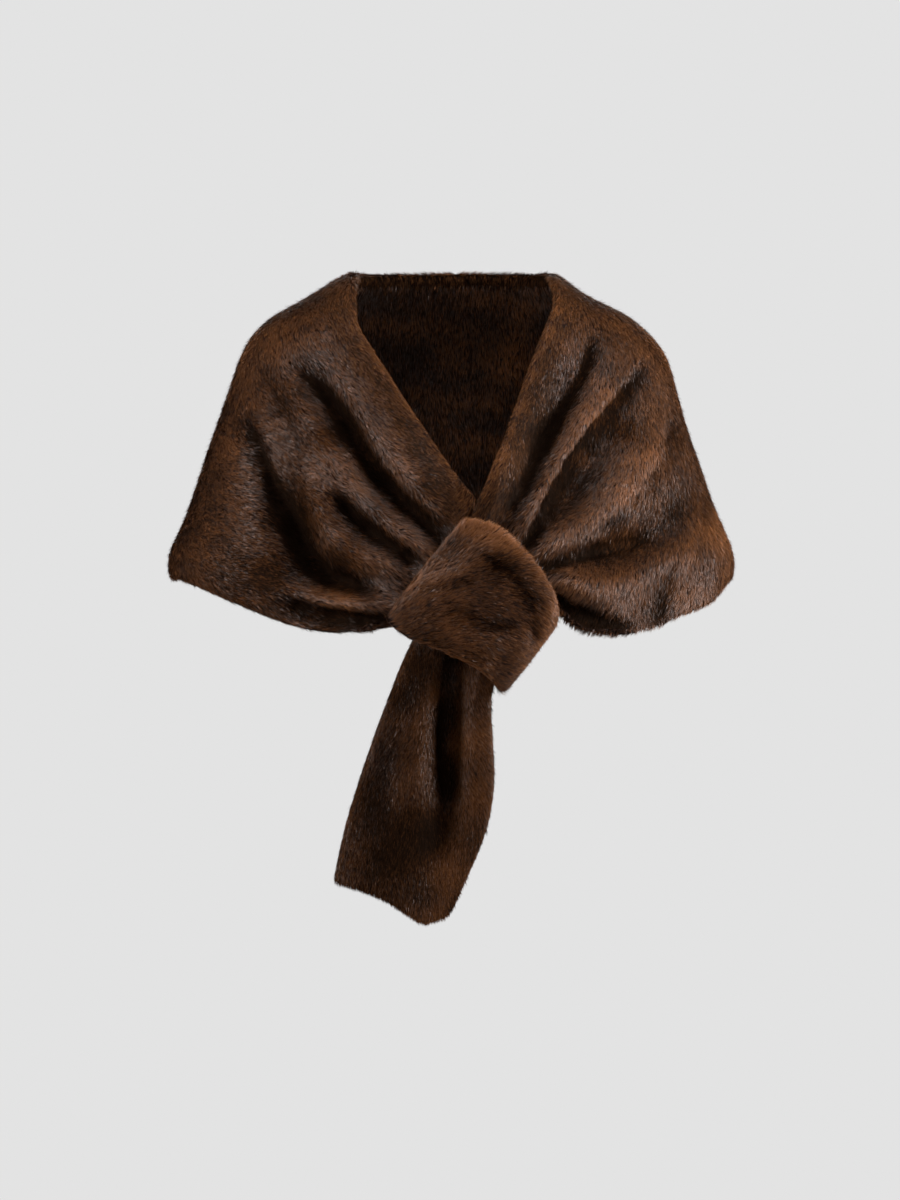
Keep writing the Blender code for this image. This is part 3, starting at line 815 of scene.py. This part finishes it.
# %% Nap tables
# place (x, y, z) and how many degrees the hair slopes down from straight round the body
SLOPES = (
    ((-0.140, -0.02, -0.01), 84),
    ((-0.180, -0.02, -0.04), 84),
    ((-0.215, -0.01, -0.08), 78),
    ((0.140, -0.02, -0.01), 86),
    ((0.180, -0.02, -0.04), 86),
    ((0.215, -0.01, -0.08), 84),
    ((-0.235, 0.00, -0.12), 66),
    ((-0.265, -0.015, -0.19), 70),
    ((-0.280, -0.015, -0.25), 74),
    ((-0.235, -0.06, -0.20), 10),
    ((-0.225, -0.06, -0.13), 14),
    ((-0.250, -0.07, -0.26), 12),
    ((-0.20, -0.08, -0.20), 14),
    ((-0.17, -0.08, -0.05), 38),
    ((-0.13, -0.11, -0.15), 36),
    ((-0.11, -0.12, -0.10), 48),
    ((-0.07, -0.14, -0.23), 34),
    ((-0.14, -0.13, -0.30), 24),
    ((0.11, -0.08, -0.05), 74),
    ((0.10, -0.13, -0.17), 66),
    ((0.17, -0.09, -0.12), 78),
    ((0.08, -0.14, -0.26), 60),
    ((0.16, -0.12, -0.24), 72),
    ((0.25, -0.04, -0.22), 82),
    ((0.20, -0.10, -0.31), 70),
    ((0.22, 0.03, -0.08), 60),
    ((-0.20, 0.07, -0.10), 14),
    ((-0.22, 0.08, -0.24), 16),
    ((0.20, 0.09, -0.10), 24),
    ((0.22, 0.08, -0.24), 26),
    ((0.00, 0.13, -0.05), 32),
    ((0.00, 0.13, -0.25), 26),
)

# place (x, z) and the hair's direction there in degrees, anticlockwise from the viewer's right
LOOP_NAP = (
    ((0.005, -0.230), 74),
    ((0.040, -0.236), 62),
    ((0.078, -0.258), 38),
    ((-0.06, -0.33), 32),
    ((-0.03, -0.29), 38),
    ((-0.01, -0.345), 12),
    ((0.02, -0.265), 10),
    ((0.035, -0.32), -12),
    ((0.07, -0.29), -38),
    ((0.09, -0.34), -48),
    ((0.05, -0.375), -30),
)
TAIL_NAP = (
    ((-0.05, -0.40), -98),
    ((-0.02, -0.42), -118),
    ((-0.01, -0.55), -92),
    ((0.00, -0.38), -80),
    ((0.03, -0.42), -35),
    ((0.05, -0.50), -62),
    ((-0.06, -0.55), -95),
    ((0.04, -0.60), -75),
)
SLOPE_REACH = 0.045
NAP_REACH = 0.028
print("places with a combed direction:", len(SLOPES) + len(LOOP_NAP) + len(TAIL_NAP))

# %% [markdown]
# ## Blending the nap
# Between the places of a table the direction has to turn softly, because combed hair has no sharp
# turns. The lining's hair hangs straight down.

# %% Nap directions
STRAIGHT_DOWN = (0.0, 0.0, -1.0)


def blended(places, values, points, reach):
    """Each point's average of the values, weighted towards the nearest places."""
    places, values = np.array(places, float), np.array(values, float)
    apart = ((points[:, None, :] - places[None]) ** 2).sum(axis=2) / reach**2
    weight = np.exp(-(apart - apart.min(axis=1, keepdims=True)) / 2)
    return (weight @ values) / weight.sum(axis=1, keepdims=True)


def round_the_body(points):
    """Level, along the body's outline, from the middle of the back towards the front."""
    across = np.sign(points[:, 0]) + (points[:, 0] == 0)
    return unit(
        np.stack(
            [
                across * points[:, 1] / BODY_HALF_DEPTH**2,
                -np.abs(points[:, 0]) / BODY_HALF_WIDTH**2,
                np.zeros(len(points)),
            ],
            axis=1,
        )
    )


def nap_direction(node, points):
    """The way that the hair points, before it is laid on the surface."""
    if node in ("loop", "tail"):
        table = LOOP_NAP if node == "loop" else TAIL_NAP
        turns = np.radians([angle for _, angle in table])
        ways = blended(
            [place for place, _ in table],
            np.stack([np.cos(turns), np.sin(turns)], axis=1),
            points[:, [0, 2]],
            NAP_REACH,
        )
        return unit(np.stack([ways[:, 0], np.zeros(len(points)), ways[:, 1]], axis=1))
    if node == "back_lining":
        return np.tile(STRAIGHT_DOWN, (len(points), 1))
    slope = np.radians(
        blended([place for place, _ in SLOPES], [[angle] for _, angle in SLOPES], points, SLOPE_REACH)
    )
    return unit(np.cos(slope) * round_the_body(points) + np.sin(slope) * np.array([STRAIGHT_DOWN]))


print("nap at the middle of the back:", nap_direction("back", np.array([[0.01, 0.13, -0.15]])).round(2)[0])


# %% [markdown]
# ## How much hair
# Real mink has thousands of hairs to the square centimetre, 0.1 mm wide, which no render of this size
# shows and no library part can hold. So one blade, 0.6 to 0.95 mm wide at its root and 6.6 to 8.5 mm
# long, stands for a fine strand of hairs. It lifts from the skin by 10 to 13 degrees. Blades grow in
# locks of 2 to 6 that share a place and a shade, because even hair would look like a brush. Most of
# them go where the eye goes: the loop, the tail and the fronts.

# %% Hair and shade of each piece
# Blades to the square millimetre on the outer and the inner face, length and width in metres, lift in
# degrees, share of strays, and blades in a lock
HAIR_COLUMNS = ("outer", "inner", "length", "width", "lift", "strays", "lock")
HAIR_ROWS = {
    "back": (0.70, 0.0, 0.0085, 0.00095, 13, 0.08, 2),
    "back_lining": (0.0, 0.69, 0.0070, 0.00085, 10, 0.05, 2),
    "right_front": (1.75, 0.22, 0.0074, 0.00064, 13, 0.08, 3),
    "left_front": (1.75, 0.22, 0.0074, 0.00064, 13, 0.08, 3),
    "loop": (3.0, 0.5, 0.0070, 0.00060, 13, 0.07, 6),
    "tail": (3.0, 0.6, 0.0066, 0.00060, 11, 0.03, 2),
}
HAIR = {node: dict(zip(HAIR_COLUMNS, row)) for node, row in HAIR_ROWS.items()}
MOST_BLADES = 190000  # so that each fur stays under 200,000 triangles

# shade of the hair from 0 to 1, how much it varies from tuft to tuft and from hair to hair, and the
# share of matt hairs
SHADE = {
    "back": dict(mean=0.29, tufts=0.07, hairs=0.16, matt=0.1),
    # the lining lies inside the cape: its darker tone is painted shade
    "back_lining": dict(mean=0.10, tufts=0.05, hairs=0.13, matt=0.4),
    "right_front": dict(mean=0.29, tufts=0.05, hairs=0.17, matt=0.12),
    "left_front": dict(mean=0.30, tufts=0.05, hairs=0.17, matt=0.12),
    "loop": dict(mean=0.42, tufts=0.08, hairs=0.23, matt=0.08),
    "tail": dict(mean=0.21, tufts=0.02, hairs=0.12, matt=0.55),
}
print("blades to the square centimetre of the loop:", round(HAIR["loop"]["outer"] * 100))


# %% [markdown]
# ## Where the hair grows
# Places are picked at random over the skin's triangles. An even grid would show as rows. Both faces
# of a front have hair, more of it outside. The back's outer hair goes on over the neck's rolled edge,
# with more of it there and at the seams, where the skin bends away and would show.

# %% Places for the hair
NECK_RISE = 0.008  # the roll of the neck is the part of the back above a height of zero
CENTRE_SEAM = 0.008  # half the width of the thicker hair
SIDE_SEAM = 0.007
PER_SQUARE_METRE = 1e6
THICKER = 1.5  # this many times the usual hair is added at each of these places

# how far a surface faces out where the outer hair begins, and where there is nothing but that
OUT_ON_FRONTS = (-0.15, 0.15)
OUT_ON_KNOT = (-0.15, 0.25)
OUT_ON_BACK = (-0.8, -0.5)  # the outer hair goes on round the hem and the side seams
ROLL_HEIGHTS = (0.004, 0.007)


def face_out(node, points, normals):
    """1 on the face that the world sees, 0 on the other."""
    if node in ("loop", "tail"):
        return smooth_step(*OUT_ON_KNOT, -normals[:, 1])
    facing = facing_out(points, normals)
    if node == "back":
        on_roll = smooth_step(*ROLL_HEIGHTS, points[:, 2])
        return np.maximum(smooth_step(*OUT_ON_BACK, facing), on_roll)
    return smooth_step(*OUT_ON_FRONTS, facing)


def thicker_at_seams(middle):
    """How many times more hair the back has at its neck, its centre seam's top and its side seams."""
    at_neck = smooth_step(0.0, NECK_RISE, middle[:, 2])
    at_centre = np.abs(middle[:, 0]) < CENTRE_SEAM
    at_sides = np.abs(middle[:, 1]) < SIDE_SEAM
    return 1 + at_neck * (THICKER + THICKER * at_centre) + THICKER * at_sides


def seeds_on(node, mesh, rng):
    """Random places on the skin, with the skin's smooth normal and its hollow at each."""
    mesh.calc_loop_triangles()
    corners = np.empty(len(mesh.loop_triangles) * 3, dtype=np.int32)
    mesh.loop_triangles.foreach_get("vertices", corners)
    corners = corners.reshape(-1, 3)
    points, normals = points_of(mesh), normals_of(mesh)
    first, second, third = (points[corners[:, i]] for i in range(3))
    crossed = np.cross(second - first, third - first)
    area = np.linalg.norm(crossed, axis=1) / 2
    middle = (first + second + third) / 3
    out = face_out(node, middle, unit(crossed))
    hair = HAIR[node]
    density = (hair["outer"] * out + hair["inner"] * (1 - out)) * PER_SQUARE_METRE
    if node == "back":
        density *= thicker_at_seams(middle)
    wanted = area * density
    count = min(int(wanted.sum()), MOST_BLADES)
    picked = rng.choice(len(corners), size=count, p=wanted / wanted.sum())
    a, b = rng.random(count), rng.random(count)
    over = a + b > 1
    a[over], b[over] = 1 - a[over], 1 - b[over]
    share = np.stack([1 - a - b, a, b], axis=1)[:, :, None]
    return (
        (points[corners[picked]] * share).sum(axis=1),
        unit((normals[corners[picked]] * share).sum(axis=1)),
        (hollows[node][corners[picked]] * share[:, :, 0]).sum(axis=1),
    )


class Blades:
    """The blades on one skin: one row of each array for each blade."""

    def __init__(self, node, seed):
        self.node = node
        self.seed = seed
        self.rng = np.random.default_rng(seed)
        roots, normals, hollow = seeds_on(node, skins[node].data, self.rng)
        self.count = len(roots)
        lock = HAIR[node]["lock"]
        self.lead = np.arange(self.count) // lock * lock  # the first blade of each blade's lock
        self.roots = roots[self.lead]
        self.normals = normals[self.lead]
        self.hollow = hollow[self.lead]


print("pieces with hair inside and out:", [n for n in HAIR if HAIR[n]["outer"] and HAIR[n]["inner"]])


# %% [markdown]
# ## Laying the hair
# Each blade is laid along the nap, on the surface. Hair that lies exactly so looks like plastic, so
# it sways: slowly over 40 mm, in tufts of 9 mm, and a little for each hair. At the back's centre seam,
# where two pelts meet, it points all ways. Some hairs are strays, which stand up and soften the edge.

# %% Direction, length and lift
# sizes in metres, sways in radians, lengths as shares of the piece's own
WAVE_SIZE = 0.040
WAVE_SWAY = 0.13
TUFT_SIZE = 0.009
TUFT_SWAY = 0.10
HAIR_SWAY = 0.08
SEAM_SWAY = 1.0
SEAM_REACH = 0.007
LOCK_REACH = 0.0005  # how far along the nap a lock spreads out for each further blade
INNER_FACE = -0.1  # a surface that faces out less than this is the back's inner face
LENGTHS = (0.75, 1.12)
LIFT_SPREAD = 0.2
STRAY_LIFT = 2.3  # strays stand up this much more than the rest


def lay_along_nap(blades):
    """Gives each blade its way over the skin and its sideways direction, and spreads out the locks."""
    rng, count, normals = blades.rng, blades.count, blades.normals
    width, lock = HAIR[blades.node]["width"], HAIR[blades.node]["lock"]
    way = nap_direction(blades.node, blades.roots)
    if blades.node == "back":
        way[facing_out(blades.roots, normals) < INNER_FACE] = STRAIGHT_DOWN
    way = unit(way - (way * normals).sum(axis=1, keepdims=True) * normals)
    side = np.cross(way, normals)
    waves = soft_noise(blades.roots, WAVE_SIZE, blades.seed + 1)
    tufts = soft_noise(blades.roots, TUFT_SIZE, blades.seed + 2)
    sway = WAVE_SWAY * waves + TUFT_SWAY * tufts
    sway += rng.normal(0, HAIR_SWAY, count)
    if blades.node == "back":
        at_seam = np.exp(-((blades.roots[:, 0] / SEAM_REACH) ** 2))
        sway += rng.uniform(-SEAM_SWAY, SEAM_SWAY, count) * at_seam * (blades.roots[:, 2] < 0.0)
    blades.way = unit(way * np.cos(sway)[:, None] + side * np.sin(sway)[:, None])
    blades.side = np.cross(blades.way, normals)
    forwards = rng.uniform(-LOCK_REACH, LOCK_REACH, count)[:, None]
    blades.roots += blades.way[blades.lead] * forwards * (lock - 1)
    sideways = rng.normal(0, width * 0.5, count)[:, None]
    blades.roots += blades.side[blades.lead] * sideways


def stand_up(blades):
    """Gives each blade its length in metres and its lift off the skin in radians."""
    rng, count, hair = blades.rng, blades.count, HAIR[blades.node]
    blades.length = hair["length"] * rng.uniform(*LENGTHS, count)
    tufts = LIFT_SPREAD * soft_noise(blades.roots, TUFT_SIZE, blades.seed + 3)
    blades.lift = np.radians(hair["lift"]) * (1 + tufts + rng.normal(0, LIFT_SPREAD, count))
    blades.lift *= np.where(rng.random(count) < hair["strays"], STRAY_LIFT, 1.0)


print("length of the loop's hair in mm:", [round(HAIR["loop"]["length"] * n * 1000, 1) for n in LENGTHS])


# %% [markdown]
# ## Shading the hair
# A fur has no even colour: pelts differ, tufts differ, and so does each hair. The photograph's cape also has
# places that are lighter on a ridge or darker beside it. A noise alone would put them anywhere, so they are a
# table of soft round patches, listed one by one: painted highlights on ridges, rims and sheen, and painted
# shade beside and below them, with some of the pelts' own lighter and darker tone. Hair in a dark patch is
# also duller.

# %% Shade of each blade
# patches of painted highlight and painted shade, with some of the pelts' own tone, lighter or darker than the
# rest: node, across, height, radius, how much
LIGHT_AND_SHADE_PATCHES = (
    ("right_front", -0.100, -0.090, 0.022, 0.14),
    ("right_front", -0.060, -0.160, 0.020, 0.10),
    ("right_front", -0.165, -0.108, 0.022, -0.15),
    ("right_front", -0.135, -0.148, 0.019, -0.20),
    ("right_front", -0.228, -0.158, 0.014, 0.18),
    ("right_front", -0.205, -0.280, 0.050, -0.15),
    ("right_front", -0.185, -0.285, 0.025, -0.16),
    ("right_front", -0.178, -0.225, 0.022, -0.20),
    ("right_front", -0.135, -0.215, 0.026, -0.18),
    ("right_front", -0.108, -0.258, 0.016, -0.18),
    ("right_front", -0.078, -0.232, 0.018, -0.14),
    ("right_front", -0.112, -0.140, 0.022, -0.10),
    ("right_front", -0.026, -0.196, 0.018, -0.22),
    ("right_front", -0.110, -0.309, 0.013, 0.42),
    ("left_front", 0.092, 0.000, 0.022, 0.24),
    ("left_front", 0.115, -0.055, 0.016, 0.16),
    ("left_front", 0.078, -0.140, 0.024, -0.24),
    ("left_front", 0.050, -0.205, 0.022, -0.22),
    ("left_front", 0.140, -0.050, 0.026, -0.08),
    ("left_front", 0.156, -0.105, 0.011, 0.46),
    ("left_front", 0.140, -0.126, 0.011, 0.46),
    ("left_front", 0.172, -0.140, 0.017, -0.20),
    ("left_front", 0.126, -0.166, 0.011, 0.35),
    ("left_front", 0.199, -0.165, 0.017, 0.34),
    ("left_front", 0.176, -0.205, 0.018, 0.34),
    ("left_front", 0.164, -0.250, 0.016, 0.42),
    ("left_front", 0.220, -0.215, 0.022, -0.14),
    ("left_front", 0.225, -0.300, 0.018, 0.22),
    ("left_front", 0.257, -0.240, 0.024, 0.42),
    # painted highlight along the top rim of the loop
    ("loop", 0.009, -0.239, 0.011, 0.75),
    ("loop", 0.028, -0.244, 0.011, 0.90),
    ("loop", 0.045, -0.253, 0.010, 0.75),
    ("loop", 0.063, -0.265, 0.010, 0.50),
    ("loop", 0.082, -0.282, 0.009, 0.40),
    ("loop", 0.098, -0.310, 0.012, 0.40),
    ("loop", 0.040, -0.275, 0.022, -0.07),
    ("loop", -0.025, -0.300, 0.026, 0.24),
    ("loop", -0.008, -0.335, 0.020, 0.26),
    ("loop", 0.016, -0.362, 0.020, 0.26),
    ("loop", 0.084, -0.350, 0.013, 0.26),
    ("tail", 0.034, -0.395, 0.014, 0.28),
    ("tail", 0.026, -0.440, 0.018, 0.14),
    ("tail", 0.025, -0.505, 0.022, 0.22),
    ("tail", 0.001, -0.450, 0.020, 0.36),
    ("tail", -0.018, -0.400, 0.012, 0.30),
    ("tail", -0.055, -0.400, 0.022, -0.12),
    ("tail", -0.036, -0.368, 0.016, -0.14),
    ("tail", -0.055, -0.450, 0.022, -0.08),
    ("tail", -0.090, -0.500, 0.028, -0.10),
    ("tail", -0.030, -0.535, 0.026, -0.22),
    ("tail", -0.062, -0.570, 0.044, -0.12),
    ("tail", 0.000, -0.578, 0.022, 0.36),
    ("tail", -0.024, -0.628, 0.018, 0.36),
    # painted sheen in bands on the lining
    ("back_lining", 0.066, -0.026, 0.018, 0.36),
    ("back_lining", 0.056, -0.072, 0.024, 0.40),
    ("back_lining", 0.000, -0.055, 0.026, 0.24),
)
REGION_SIZE = 0.045
REGION_SHADE = 0.08
LOOSE_SHARE = 0.4  # how much a hair's own shade counts beside the shade of its lock
DARK_IS_DULL = 3.5
SEEN_FROM_FRONT = 0.3  # a patch colours only hair whose normal points less than this to the rear


def shade_hair(blades):
    """Gives each blade its shade, from 0 to 1, and how much duller than usual it is."""
    tone, roots, rng, count = SHADE[blades.node], blades.roots, blades.rng, blades.count
    shade = tone["mean"] + REGION_SHADE * soft_noise(roots, REGION_SIZE, blades.seed + 4)
    shade += tone["tufts"] * soft_noise(roots, TUFT_SIZE, blades.seed + 5)
    of_locks = rng.normal(0, tone["hairs"], count)[blades.lead]
    shade += of_locks + LOOSE_SHARE * rng.normal(0, tone["hairs"], count)
    dull = np.zeros(count)
    # the patches paint highlights and shade into the hair
    for name, across, height, radius, change in LIGHT_AND_SHADE_PATCHES:
        if name == blades.node:
            apart = np.hypot(roots[:, 0] - across, roots[:, 2] - height) / radius
            patch = change * np.exp(-(apart**2)) * (blades.normals[:, 1] < SEEN_FROM_FRONT)
            shade += patch
            dull -= DARK_IS_DULL * np.minimum(patch, 0)
    blades.shade = shade
    blades.dull = dull


print("patches:", len(LIGHT_AND_SHADE_PATCHES))


# %% [markdown]
# ## Hair with a place of its own
# Three pieces need more than the tables say. At the back's neck the pelt is rolled over: its hair is shorter
# and stands up more, with painted light on the outer side of the roll, and painted shade on the side of the
# neck, where it is also dull. The top of the tail is squeezed inside the loop, so its hair lies flat there.
# The lining gets faint level bands of painted sheen.

# %% Neck roll, top of the tail, lining
NECK_FROM, NECK_TO = 0.002, 0.010
# the neck roll's painted shade on its inner side and painted light on its outer side
NECK_PAINTED_SHADE_IN, NECK_PAINTED_LIGHT_OUT = -0.24, 0.16
NECK_TURN = (-0.1, 0.6)  # facing inwards up to the first, and outwards from the second
NECK_DULL = 1.5
NECK_LIFT = 1.4
NECK_SHORTER = 0.2
LOOP_HEM = (-0.075, -0.330)  # the loop's lower edge at its left, as seen from the front
LOOP_HEM_SLOPE = -0.598
TUCK_MARGIN = 0.010
TUCKED_LENGTH = 0.5
# painted sheen in faint level bands on the lining
SHEEN_BAND_SIZE = 0.045
SHEEN_BAND_STRETCH = (0.25, 0.25, 1.0)  # the bands are four times as long as they are tall
SHEEN_BAND_LIGHT = 0.22
SHEEN_BAND_LIMITS = (-0.5, 1)


def roll_the_neck(blades):
    """Shorter, fuller hair on the rolled edge of the neck, with painted light on its outer side and painted
    shade on its inner side, which is also dull.
    """
    neck = smooth_step(NECK_FROM, NECK_TO, blades.roots[:, 2])
    turned_out = smooth_step(*NECK_TURN, facing_out(blades.roots, blades.normals))
    blades.shade += neck * ((NECK_PAINTED_LIGHT_OUT - NECK_PAINTED_SHADE_IN) * turned_out + NECK_PAINTED_SHADE_IN)
    blades.dull += NECK_DULL * neck * (1 - turned_out)
    blades.lift *= 1 + NECK_LIFT * neck
    blades.length *= 1 - NECK_SHORTER * neck


def tuck_in_the_tail(blades):
    """Short, flat hair on the part of the tail that is inside the loop."""
    hem = LOOP_HEM[1] + LOOP_HEM_SLOPE * (blades.roots[:, 0] - LOOP_HEM[0])
    inside = blades.roots[:, 2] > hem + TUCK_MARGIN
    blades.length[inside] *= TUCKED_LENGTH
    blades.lift[inside] = 0.0


def paint_sheen_bands_on_lining(blades):
    """Faint level bands of painted sheen on the lining's pile."""
    bands = soft_noise(blades.roots * SHEEN_BAND_STRETCH, SHEEN_BAND_SIZE, blades.seed + 6)
    blades.shade += SHEEN_BAND_LIGHT * np.clip(bands, *SHEEN_BAND_LIMITS)


OWN_PLACE = {"back": roll_the_neck, "tail": tuck_in_the_tail, "back_lining": paint_sheen_bands_on_lining}
print("pieces with a rule of their own:", sorted(OWN_PLACE))


# %% [markdown]
# ## Gloss and hollows
# Hair in a hollow is shaded by the hair about it, and so is its gloss. The blades drawn here are far fewer
# than real hairs, so they shade one another too little. The hollow itself therefore darkens the hair with
# painted shade and turns more of it matt, the deeper it is, and a ridge lightens its hair with painted light.

# %% Finish of each blade
ROLL = math.radians(24)
HOLLOW_DARKENING = 0.010  # the depth that would take the whole of the shade away
# painted light on the ridges and painted shade in the troughs
HOLLOW_LIMITS = (-0.25, 0.5)  # the most that a ridge lightens, and that a trough darkens
GLOSSY_TO, MATT_FROM = -0.0015, 0.0060
FINISH_ODDS = (0.02, 0.98)  # a matt share past either end leaves nothing to chance


def choose_finish(blades):
    """Paints shade into the hollows and light onto the ridges, turns each blade about its length, and picks
    glossy or matt for it.
    """
    rng, count, hollow = blades.rng, blades.count, blades.hollow
    blades.shade -= np.clip(hollow / HOLLOW_DARKENING, *HOLLOW_LIMITS)
    blades.roll = rng.uniform(-ROLL, ROLL, count)
    matt = np.maximum(smooth_step(GLOSSY_TO, MATT_FROM, hollow), SHADE[blades.node]["matt"])
    sheltered = matt + blades.dull
    blades.finish = (sheltered > rng.uniform(*FINISH_ODDS, count)).astype(np.int32)


print("hair is all matt in hollows deeper than, in mm:", MATT_FROM * 1000)


# %% [markdown]
# ## The turned edges
# Along both edges of the V neck the fur is folded over and worn flat: a smooth strip about 28 mm wide,
# duller than the rest, with a fine light line on the very edge. A strip of its own could be laid
# there, but on the cape it is the same pelt. So the hair near the edge is made shorter, flatter and
# duller instead. The edge lines are given as seen from the front.

# %% The edges of the V
NECK_EDGES = {
    "right_front": (
        (-0.103, -0.019),
        (-0.100, -0.036),
        (-0.0882, -0.057),
        (-0.070, -0.0855),
        (-0.032, -0.1445),
        (-0.0015, -0.191),
        (0.0125, -0.2145),
    ),
    "left_front": (
        (0.104, -0.010),
        (0.094, -0.036),
        (0.074, -0.086),
        (0.053, -0.147),
        (0.0258, -0.2145),
        (0.0085, -0.2668),
    ),
}
STRIP_WIDTH = 0.028
STRIP_FADE = (0.5, 1.4)  # it ends softly between these shares of its width
STRIP_ODDS = (0.1, 1.1)
STRIP_WANDER = 0.004
STRIP_WANDER_SIZE = 0.025
STRIP_SHORTER, STRIP_FLATTER, STRIP_EVENER = 0.25, 0.5, 0.4
EDGE_SHADE = 0.30
EDGE_FROM, EDGE_TO = 0.002, 0.005


def wear_edge_flat(blades):
    """Flat, dull hair on the strip beside the neck's edge, and light hair on the edge itself."""
    apart = beside_line(blades.roots, NECK_EDGES[blades.node])[0]
    apart += STRIP_WANDER * soft_noise(blades.roots, STRIP_WANDER_SIZE, blades.seed + 7)
    flat = 1 - smooth_step(STRIP_WIDTH * STRIP_FADE[0], STRIP_WIDTH * STRIP_FADE[1], apart)
    blades.length *= 1 - STRIP_SHORTER * flat
    blades.lift *= 1 - STRIP_FLATTER * flat
    blades.roll *= 1 - STRIP_EVENER * flat
    blades.shade += EDGE_SHADE * (1 - smooth_step(EDGE_FROM, EDGE_TO, apart))
    pressed = flat > blades.rng.uniform(*STRIP_ODDS, blades.count)
    blades.finish[pressed] = FINISHES.index(PRESSED)


print("edges worn flat:", len(NECK_EDGES))


# %% [markdown]
# ## Growing the hair
# Blender's own hair curves would be the usual way, but a library part is made of meshes. So each
# blade is one narrow triangle: two corners at its root and one at its tip. A triangle can't curl, but
# mink is straight. All the blades of a skin are joined in one mesh.

# %% Hair on each skin
LEAST_LIFT = np.radians(6)
MOST_LIFT = np.radians(45)
WIDTHS = (0.7, 1.2)
SHADES = 48  # strips of the palette
HALF_STRIP = 0.3  # of a strip's width, so that no blade reads the next strip
ROOT_UV, TIP_UV = 0.02, 0.98


def corners_of(blades):
    """Three corners for each blade."""
    lift = np.clip(blades.lift, LEAST_LIFT, MOST_LIFT)[:, None]
    roll = blades.roll[:, None]
    along = unit(blades.way * np.cos(lift) + blades.normals * np.sin(lift))
    upright = np.cross(blades.side, along)
    across = blades.side * np.cos(roll) + upright * np.sin(roll)
    width = HAIR[blades.node]["width"]
    half = across * (width / 2) * blades.rng.uniform(*WIDTHS, blades.count)[:, None]
    tips = blades.roots + along * blades.length[:, None]
    return np.stack([blades.roots - half, blades.roots + half, tips], axis=1)


def palette_uv(shade):
    """Each blade's corners in the palette, on the strip of its shade, from root to tip."""
    strip = np.clip((shade * SHADES).astype(int), 0, SHADES - 1)
    middle = (strip + 0.5) / SHADES
    uv = np.empty((len(shade), 3, 2))
    uv[:, 0] = np.stack([middle - HALF_STRIP / SHADES, np.full(len(shade), ROOT_UV)], axis=1)
    uv[:, 1] = np.stack([middle + HALF_STRIP / SHADES, np.full(len(shade), ROOT_UV)], axis=1)
    uv[:, 2] = np.stack([middle, np.full(len(shade), TIP_UV)], axis=1)
    return uv


def mesh_of(blades):
    """One mesh of all the blades."""
    mesh = bpy.data.meshes.new("fur_" + blades.node)
    corner_count = blades.count * 3
    mesh.vertices.add(corner_count)
    mesh.vertices.foreach_set("co", corners_of(blades).ravel())
    mesh.loops.add(corner_count)
    mesh.loops.foreach_set("vertex_index", np.arange(corner_count, dtype=np.int32))
    mesh.polygons.add(blades.count)
    mesh.polygons.foreach_set("loop_start", np.arange(0, corner_count, 3, dtype=np.int32))
    mesh.update(calc_edges=True)
    mesh.uv_layers.new(name="OFBake").data.foreach_set("uv", palette_uv(blades.shade).ravel())
    for material in FINISHES[: blades.finish.max() + 1]:
        mesh.materials.append(material)
    mesh.polygons.foreach_set("material_index", blades.finish)
    return mesh


def grow_hair(node, seed):
    """All the hair of one skin. The order of the steps is the order of the random draws."""
    blades = Blades(node, seed)
    lay_along_nap(blades)
    stand_up(blades)
    shade_hair(blades)
    if node in OWN_PLACE:
        OWN_PLACE[node](blades)
    choose_finish(blades)
    if node in NECK_EDGES:
        wear_edge_flat(blades)
    piece = bpy.data.objects.new("fur_" + node, mesh_of(blades))
    scene.collection.objects.link(piece)
    return piece


SEED_STEP = 100  # room for the seeds that one fur's noise takes

furs = {}
for number, node in enumerate(SOFT_NODES):
    furs[node] = grow_hair(node, SEED_STEP * (number + 1))
    print(furs[node].name, "blades:", len(furs[node].data.polygons))


# %% [markdown]
# ## Tying it to the frame
# Each skin stands for its CAD solid, which is hidden, and its fur goes with it. The table lists the flat
# piece that a furrier would cut, but only its node is used here. Everything rides on the cape's one body.

# %% Pieces and their flat sizes
# node, flat width and length, flat area in square metres, how it is held, what it lies on
CUTS = (
    ("back", (0.72, 0.34), 0.190, "draped", ()),
    ("back_lining", (0.68, 0.31), 0.166, "draped", ("skin_back",)),
    ("right_front", (0.42, 0.33), 0.100, "draped", ()),
    ("left_front", (0.40, 0.34), 0.094, "draped", ()),
    ("loop", (0.23, 0.19), 0.0365, "folded", ("skin_left_front",)),
    ("tail", (0.17, 0.34), 0.0450, "hung", ("skin_loop",)),
)

for node, flat, area, held, carriers in CUTS:
    for piece in (skins[node], furs[node]):
        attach(piece, "root")
    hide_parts(node)
print("pieces:", len(skins) + len(furs))
